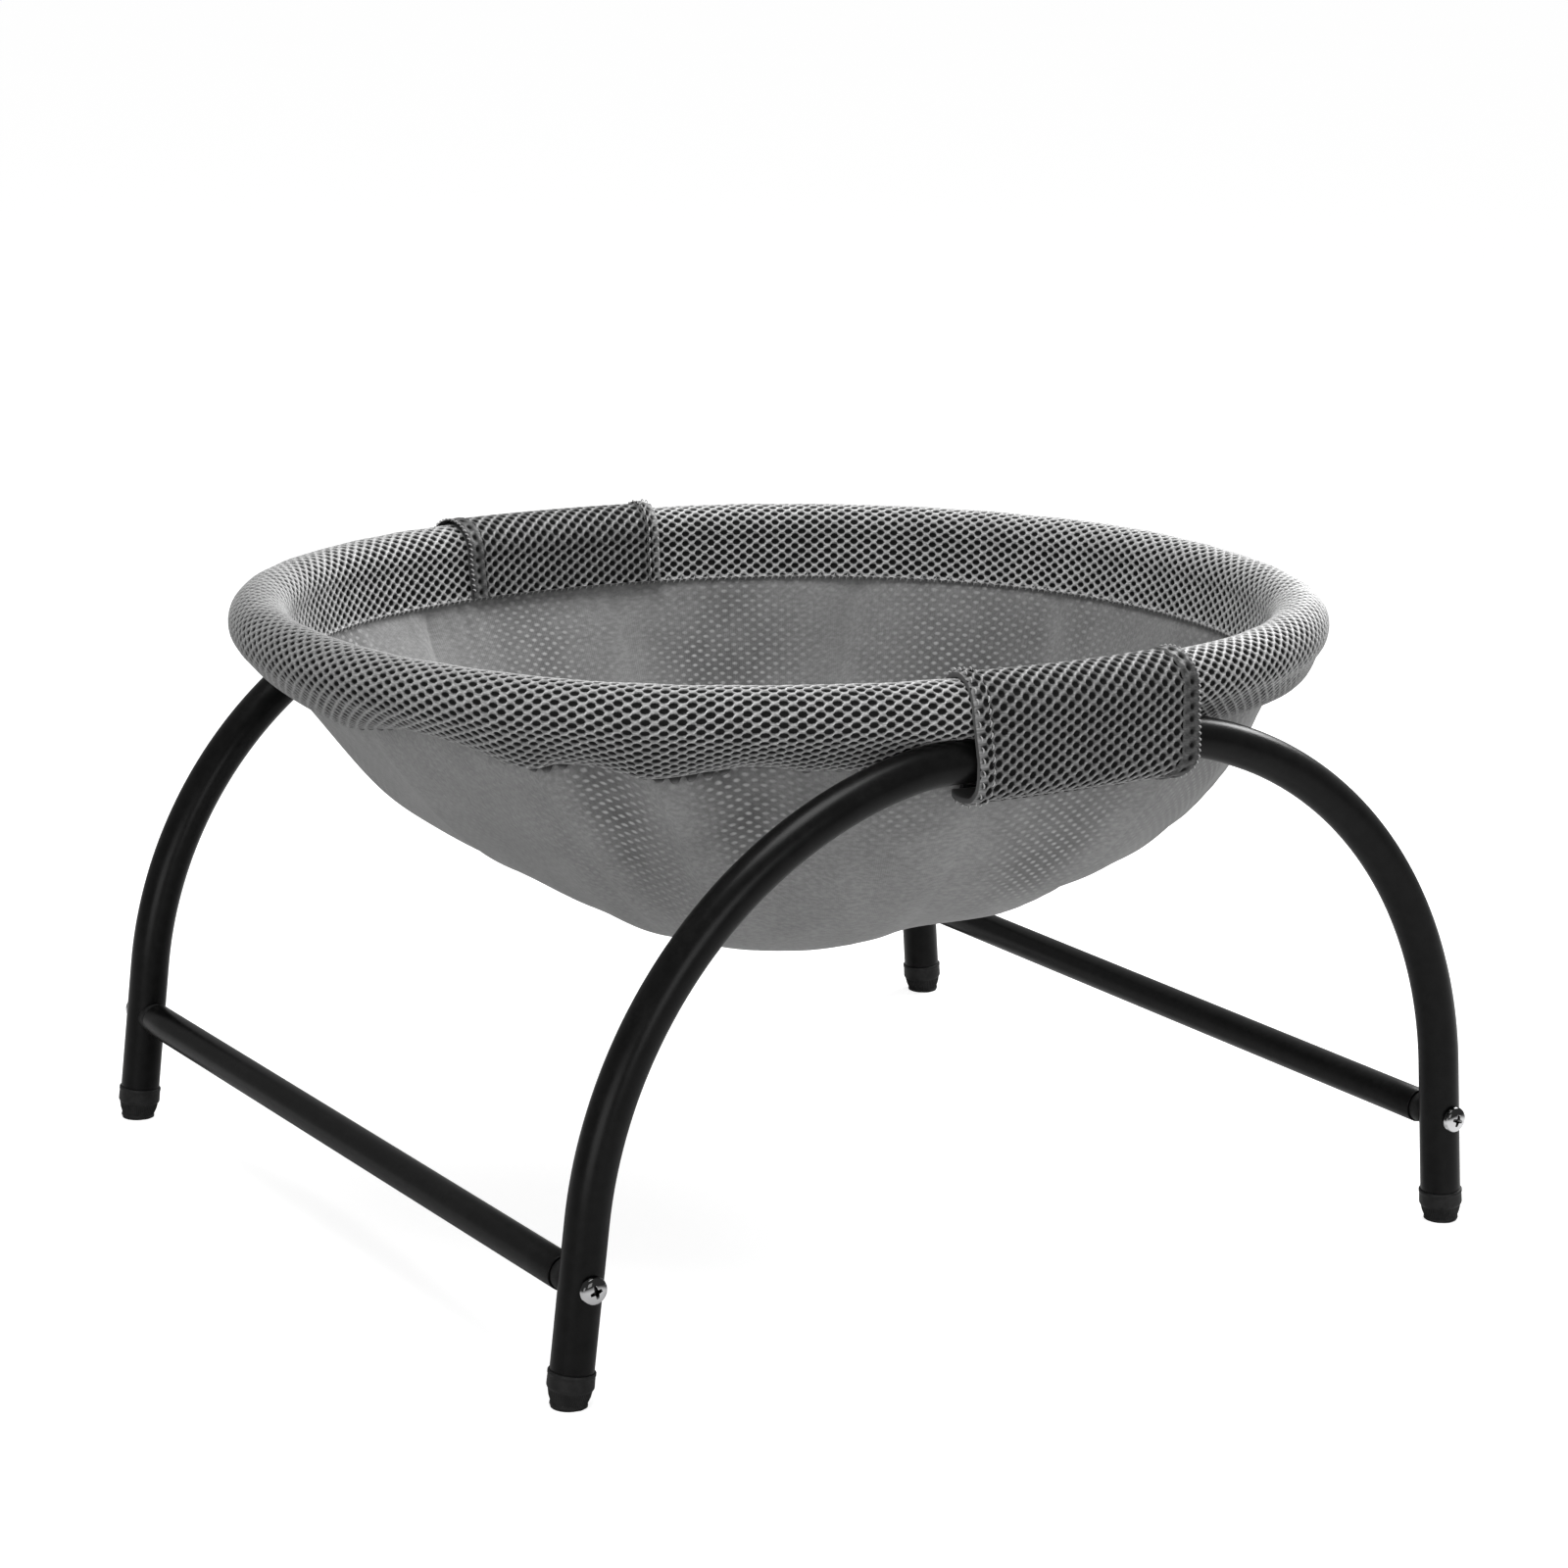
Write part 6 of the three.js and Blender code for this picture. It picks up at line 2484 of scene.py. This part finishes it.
@dataclass(frozen=True)
class Crease:
    """A sharp fold of the bowl cloth: where it runs, and how it stands out."""

    start_angle: float
    end_angle: float
    start_share: float
    end_share: float
    height: float
    left_width: float
    right_width: float
    edge: float = 0.45 * MM
    limits: tuple[float, float] = (45 * MM, 25 * MM)

    def _place(
        self, angle: Array, share: Array, reach: Array
    ) -> tuple[Array, Array]:
        """Where places on the bowl are beside the fold.

        Args:
            angle: Angles of the places.
            share: Their shares, 1 at the hem.
            reach: Their distances from the bowl's middle.

        Returns:
            The part of the fold's length, and the distance to its right.
        """
        part = np.clip((self.start_share - share) / (self.start_share - self.end_share), 0, 1)
        middle = np.radians(self.start_angle + (self.end_angle - self.start_angle) * part**0.8)
        return part, np.arctan2(np.sin(angle - middle), np.cos(angle - middle)) * reach

    def band_at(self, angle: Array, share: Array, reach: Array) -> Array:
        """How smoothly the cloth is drawn beside the fold.

        Args:
            angle: Angles of places on the bowl.
            share: Their shares, 1 at the hem.
            reach: Their distances from the bowl's middle.

        Returns:
            Shares from 0 to 1.
        """
        part, away = self._place(angle, share, reach)
        width = np.where(away > 0, self.right_width, self.left_width) * 1.1 + 2 * MM
        return np.exp(-((away / width) ** 2)) * smooth_step(1 - part, 0.0, 0.3)

    def height_at(self, angle: Array, share: Array, reach: Array) -> Array:
        """Height of the fold over the cloth.

        Args:
            angle: Angles of places on the bowl.
            share: Their shares, 1 at the hem.
            reach: Their distances from the bowl's middle.

        Returns:
            The heights.
        """
        part, away = self._place(angle, share, reach)
        width = np.where(away > 0, self.right_width, self.left_width) * (1 + 0.8 * part)
        rounded = np.sqrt(away**2 + self.edge**2) - self.edge
        fade = smooth_step(1 - part, 0.0, 0.6)
        return self.height * fade * np.exp(-rounded / width) * smooth_step(np.abs(away), *self.limits)


@dataclass
class Bowl:
    """The cloth bowl: two faces, its folds, and the gathers at its hem."""

    finishes: Finishes
    shape: BowlShape
    columns: int = 720
    rings: int = 110
    pucker: float = 0.45 * MM
    plain_share: float = 0.12
    pattern_columns: int = 178
    clearance: float = 3.4 * MM
    gather_reach: float = 16 * MM
    slow_wave: float = 3 * MM
    least_fall: float = 0.9 * MM
    fall_reach: float = 5 * MM
    pattern_fade: tuple[float, float] = (0.40, 0.60)
    creases: tuple[Crease, ...] = field(default_factory=lambda: (
        Crease(-150, -141, 1.0, 0.45, 3.4 * MM, 3 * MM, 10 * MM),
        Crease(-137, -127, 1.0, 0.48, 3.9 * MM, 3 * MM, 11 * MM),
        Crease(-116, -108, 0.9, 0.45, 1.4 * MM, 7 * MM, 9 * MM),
        Crease(-95, -101, 1.0, 0.50, -1.8 * MM, 9 * MM, 7 * MM),
        Crease(-63, -87.5, 1.0, 0.40, 4.2 * MM, 13 * MM, 2.4 * MM),
        Crease(-30, -38, 1.0, 0.50, 2.0 * MM, 7 * MM, 4 * MM),
        Crease(20, 14, 1.0, 0.55, 1.8 * MM, 6 * MM, 4 * MM),
        Crease(48, 56, 1.0, 0.45, 2.6 * MM, 4 * MM, 9 * MM),
        Crease(84, 80, 1.0, 0.60, 1.4 * MM, 7 * MM, 4 * MM),
        Crease(116, 124, 1.0, 0.45, 2.6 * MM, 9 * MM, 4 * MM),
        Crease(152, 144, 1.0, 0.50, 2.2 * MM, 8 * MM, 4 * MM),
        Crease(-172, -178, 1.0, 0.55, 1.6 * MM, 4 * MM, 7 * MM),
    ))

    sags: tuple[tuple[float, float, float, float, float], ...] = (
        (166, 0.83, 12, 0.08, -3.0), (-175, 0.68, 18, 0.09, -1.7), (-69, 0.71, 8, 0.09, 3.6),
        (-52, 0.79, 7, 0.08, -2.5), (-34, 0.87, 8, 0.06, 2.2), (-131.5, 0.57, 5, 0.10, 3.0),
        (-114, 0.57, 7, 0.09, -1.2), (-162, 0.64, 6, 0.08, -1.7), (-103, 0.59, 5, 0.08, -0.8),
    )
    patches: tuple[tuple[float, float, float, float, float], ...] = (
        (-143, 0.90, 5.5, 0.14, 1.0), (-128, 0.95, 6, 0.09, 1.0), (-111, 0.97, 9, 0.06, 0.7),
        (-80, 0.88, 9, 0.12, 0.8), (-48, 0.90, 13, 0.10, 0.45), (-15, 0.90, 11, 0.12, 0.7),
        (28, 0.88, 16, 0.14, 1.0), (68, 0.92, 10, 0.10, 0.8), (100, 0.90, 11, 0.12, 0.7),
        (134, 0.92, 8, 0.10, 0.8), (165, 0.90, 9, 0.10, 0.4),
    )
    pockets: tuple[tuple[float, float, float], ...] = (
        (-168, 4, 1.6), (-154, 3, 1.4), (-149.2, 1.3, 3.0), (-145.5, 2.4, 3.4), (-136.2, 1.2, 3.2),
        (-131, 4, 3.6),
    )

    @staticmethod
    def _bells(table: Sequence[Sequence[float]], angle: Array, share: Array) -> Array:
        """A sum of bells over the bowl.

        Args:
            table: Each bell's angle, share, width in degrees, width in shares and height.
            angle: Angles of places on the bowl.
            share: Their shares.

        Returns:
            The sum at each place.
        """
        total = np.zeros_like(angle)
        for at, at_share, width, share_width, height in table:
            total += height * np.exp(-(turned(angle, at, width) ** 2)) * hump(share, at_share, share_width)
        return total

    def drawn_in(self, angle: Array, down: Array) -> Array:
        """How far the cloth falls back from the sleeve's hem.

        Args:
            angle: Angles of places on the bowl.
            down: Their distances from the hem.

        Returns:
            The depths.
        """
        total = np.full_like(angle, self.least_fall)
        for at, width, depth in self.pockets:
            total += depth * MM * np.exp(-(turned(angle, at, width) ** 2))
        return total * hump(down, 0, self.fall_reach)

    def face(self) -> tuple[Array, Array, Array, Array]:
        """Outside of the bowl, with its folds.

        Returns:
            The points, the normals, the cloth's places in its pattern, and how much that shows.
        """
        angle = LAYOUT.hoop_angles(self.columns)
        fine = np.linspace(1, 0.012, 400)
        mean = self.shape.outside(np.full(400, -1.2), fine)
        along = path_lengths(mean)
        shares = np.interp(np.linspace(0, along[-1], self.rings), along, fine)
        a, s = np.meshgrid(angle, shares, indexing="ij")
        points = self.shape.outside(a, s)
        points[..., 2] += self._bells(self.sags, a, s) * MM
        normal = unit(np.cross(np.gradient(points, axis=1), self._loop_step(points)))
        middle = np.array([self.shape.right_offset, -self.shape.front_offset])
        reach = np.linalg.norm(points[..., :2] - middle, axis=-1)
        relief = sum(crease.height_at(a, s, reach) for crease in self.creases)
        down = path_lengths(points)
        gather = ripple(a, 5, (61, 83, 97, 113, 131, 149)) * np.exp(-down / self.gather_reach)
        slow = ripple(a, 6, (7, 11, 15, 19, 24)) * s**3 * (1 - s) * self.slow_wave
        relief = relief + self.pucker * gather + slow - self.drawn_in(a, down)
        points = LAYOUT.pressed_off(points + normal * relief[..., None], self.clearance)
        normal = unit(np.cross(np.gradient(points, axis=1), self._loop_step(points)))
        around = np.arange(self.columns)[:, None] / self.columns * np.ones_like(s)
        flat = np.stack([around * self.pattern_columns * OVAL_PITCH, down, np.zeros_like(a)], -1)
        bands = sum(crease.band_at(a, s, reach) for crease in self.creases)
        shown = np.clip(self.plain_share + self._bells(self.patches, a, s), 0, 1)
        shown *= (1 - 0.85 * np.clip(bands, 0, 1)) * smooth_step(s, *self.pattern_fade)
        shown[[0, -1]] = 0
        return points, normal, flat, shown

    @staticmethod
    def _loop_step(points: Array) -> Array:
        """Differences round the bowl."""
        return np.roll(points, -1, 0) - np.roll(points, 1, 0)

    def build(self) -> bpy.types.Object:
        """Makes the bowl with both its faces and its tucked edge.

        Returns:
            The bowl.
        """
        points, normal, flat, shown = self.face()
        angle = LAYOUT.hoop_angles(self.columns)
        tuck = self.shape.beside_hoop(
            angle,
            np.full_like(angle, -self.shape.hem_inset + self.shape.tuck_width),
            -self.shape.hem_drop + self.shape.tuck_height + 0.7 * self.shape.hem_lift(angle),
        )
        outer = np.concatenate([tuck[:, None], points], axis=1)
        above = np.zeros_like(tuck)
        above[:, 1] = np.linalg.norm(tuck - points[:, 0], axis=-1)
        flat = np.concatenate([flat[:, :1] - above[:, None], flat], axis=1)
        shown = np.concatenate([shown[:, :1], shown], axis=1)
        level = unit(np.concatenate([normal[:, :1], normal], axis=1))
        inner = outer - level * self.shape.thickness
        draft = Draft()
        out_place = draft.grid(outer, loop=True, flip=True, cloth=flat, tone=shown)
        in_place = draft.grid(inner, loop=True, cloth=flat, tone=shown)
        draft.bridge(out_place[:, 0], in_place[:, 0], ring=True)
        centre = points[:, -1].mean(0)
        draft.cap(out_place[:, -1], centre, flip=True, tone=0.0)
        draft.cap(in_place[:, -1], centre + np.array([0, 0, self.shape.thickness]), tone=0.0)
        piece = self.finishes.settle(draft.build("bowl_cloth"), "cot", Slot.BOWL, "bowl_fabric")
        return piece


@dataclass(frozen=True)
class PhotoCamera:
    """The camera, at the photograph's viewing angle."""

    place: tuple[float, float, float] = (-1.037276, -1.601166, 0.652556)
    yaw: float = 0.575381
    pitch: float = 0.236376
    roll: float = 0.0245596
    lens_mm: float = 93.71
    sensor_mm: float = 36.0

    def build(self) -> bpy.types.Object:
        """Makes the camera and sets the scene to use it.

        Returns:
            The camera.
        """
        data = bpy.data.cameras.new("camera")
        data.lens = self.lens_mm
        data.sensor_width = self.sensor_mm
        data.sensor_fit = "HORIZONTAL"
        data.clip_end = 200
        camera = bpy.data.objects.new("camera", data)
        bpy.context.scene.collection.objects.link(camera)
        ahead = Vector((
            math.sin(self.yaw) * math.cos(self.pitch),
            math.cos(self.yaw) * math.cos(self.pitch),
            -math.sin(self.pitch),
        ))
        level = Vector((math.cos(self.yaw), -math.sin(self.yaw), 0))
        upright = level.cross(ahead)
        right = level * math.cos(self.roll) + upright * math.sin(self.roll)
        above = upright * math.cos(self.roll) - level * math.sin(self.roll)
        turn = Matrix((right, above, -ahead)).transposed().to_4x4()
        camera.matrix_world = Matrix.Translation(self.place) @ turn
        bpy.context.scene.camera = camera
        return camera


@dataclass(frozen=True)
class SoftBox:
    """A square lamp that looks at the cot."""

    name: str
    place: tuple[float, float, float]
    size: float
    power: float

    def build(self, target: Vector) -> bpy.types.Object:
        """Makes the lamp.

        Args:
            target: What it looks at.

        Returns:
            The lamp.
        """
        data = bpy.data.lights.new(self.name, "AREA")
        data.shape = "SQUARE"
        data.size = self.size
        data.energy = self.power
        lamp = bpy.data.objects.new(self.name, data)
        lamp.location = self.place
        lamp.rotation_euler = (target - Vector(self.place)).to_track_quat("-Z", "Y").to_euler()
        bpy.context.scene.collection.objects.link(lamp)
        return lamp


@dataclass
class Studio:
    """Pale floor, soft lamps, white surroundings and the camera."""

    floor_size: float = 60.0
    floor_colour: Colour = (0.62, 0.62, 0.62)
    floor_glow: float = 0.80
    sky_strength: float = 0.31
    lamps: tuple[SoftBox, ...] = (
        SoftBox("lamp_key", (1.0, 0.25, 0.95), 0.6, 15.0),
        SoftBox("lamp_front", (-0.35, -2.1, 0.65), 0.8, 6.0),
        SoftBox("lamp_fill", (-2.1, -1.4, 0.1), 1.3, 15.0),
        SoftBox("lamp_top", (-0.35, -0.3, 2.2), 1.0, 22.0),
    )

    def build(self) -> None:
        """Makes the whole studio."""
        self.floor()
        self.surroundings()
        for lamp in self.lamps:
            lamp.build(Vector((0, 0, 0.2)))
        PhotoCamera().build()
        bpy.context.scene.view_settings.view_transform = "Standard"

    def floor(self) -> None:
        """Makes the floor."""
        half = self.floor_size / 2
        draft = Draft()
        draft.add(
            np.array([(-half, -half, 0), (half, -half, 0), (half, half, 0), (-half, half, 0)]),
            np.array([[0, 1, 2, 3]]),
        )
        floor = draft.build("floor")
        material = bpy.data.materials.new("PaleFloor")
        material.use_nodes = True
        graph = Graph(material.node_tree)
        tone = graph.range(graph.noise(graph.object_place(), 1.5, 2.0), 0.2, 0.8, 0.99, 1.0)
        seen = graph.node("ShaderNodeLightPath").outputs["Is Camera Ray"]
        glow = graph.times(seen, self.floor_glow)
        mixer = graph.node("ShaderNodeCombineColor")
        graph.fill(
            material.node_tree.nodes["Principled BSDF"],
            Base_Color=graph.scaled(self.floor_colour, tone),
            Emission_Color=graph.fill(mixer, Red=glow, Green=glow, Blue=glow).outputs[0],
            Emission_Strength=1.0,
            Roughness=1.0,
            Specular_IOR_Level=0.0,
        )
        floor.data.materials.append(material)

    def surroundings(self) -> None:
        """Makes the light from all round, white where it is seen."""
        world = bpy.data.worlds.new("surroundings")
        bpy.context.scene.world = world
        world.use_nodes = True
        graph = Graph(world.node_tree)
        background = world.node_tree.nodes["Background"]
        seen = graph.node("ShaderNodeLightPath").outputs["Is Camera Ray"]
        node = graph.node("ShaderNodeMapRange")
        for socket, value in zip(node.inputs, (seen, 0.0, 1.0, self.sky_strength, 1.0)):
            graph.put(socket, value)
        background.inputs["Color"].default_value = (1, 1, 1, 1)
        graph.put(background.inputs["Strength"], node.outputs[0])


def main() -> None:
    """Builds the studio, then the cot from the floor up."""
    logging.basicConfig(level=logging.INFO, format="%(name)s: %(message)s", stream=sys.stdout)
    Studio().build()
    finishes = Finishes()
    arches, bars = LegArches(finishes), Crossbars(finishes)
    screws, feet = FrameScrews(finishes), Feet(finishes)
    for end in End:
        arches.build(end)
        for side in Side:
            bars.insert(end, side)
            screws.build(end, side)
            feet.build(end, side)
    for side in Side:
        bars.bar(side)
    for node in ("front_hoop", "rear_hoop"):
        finishes.recoat(node, Slot.HOOP)
    for node in ("left_hoop_joiner", "right_hoop_joiner"):
        finishes.recoat(node, Slot.PLASTIC)
    shape = BowlShape()
    Bowl(finishes, shape).build()
    RimSleeve(finishes, shape).build()
    Wraps(finishes, shape).build()


if __name__ == "__main__":
    main()
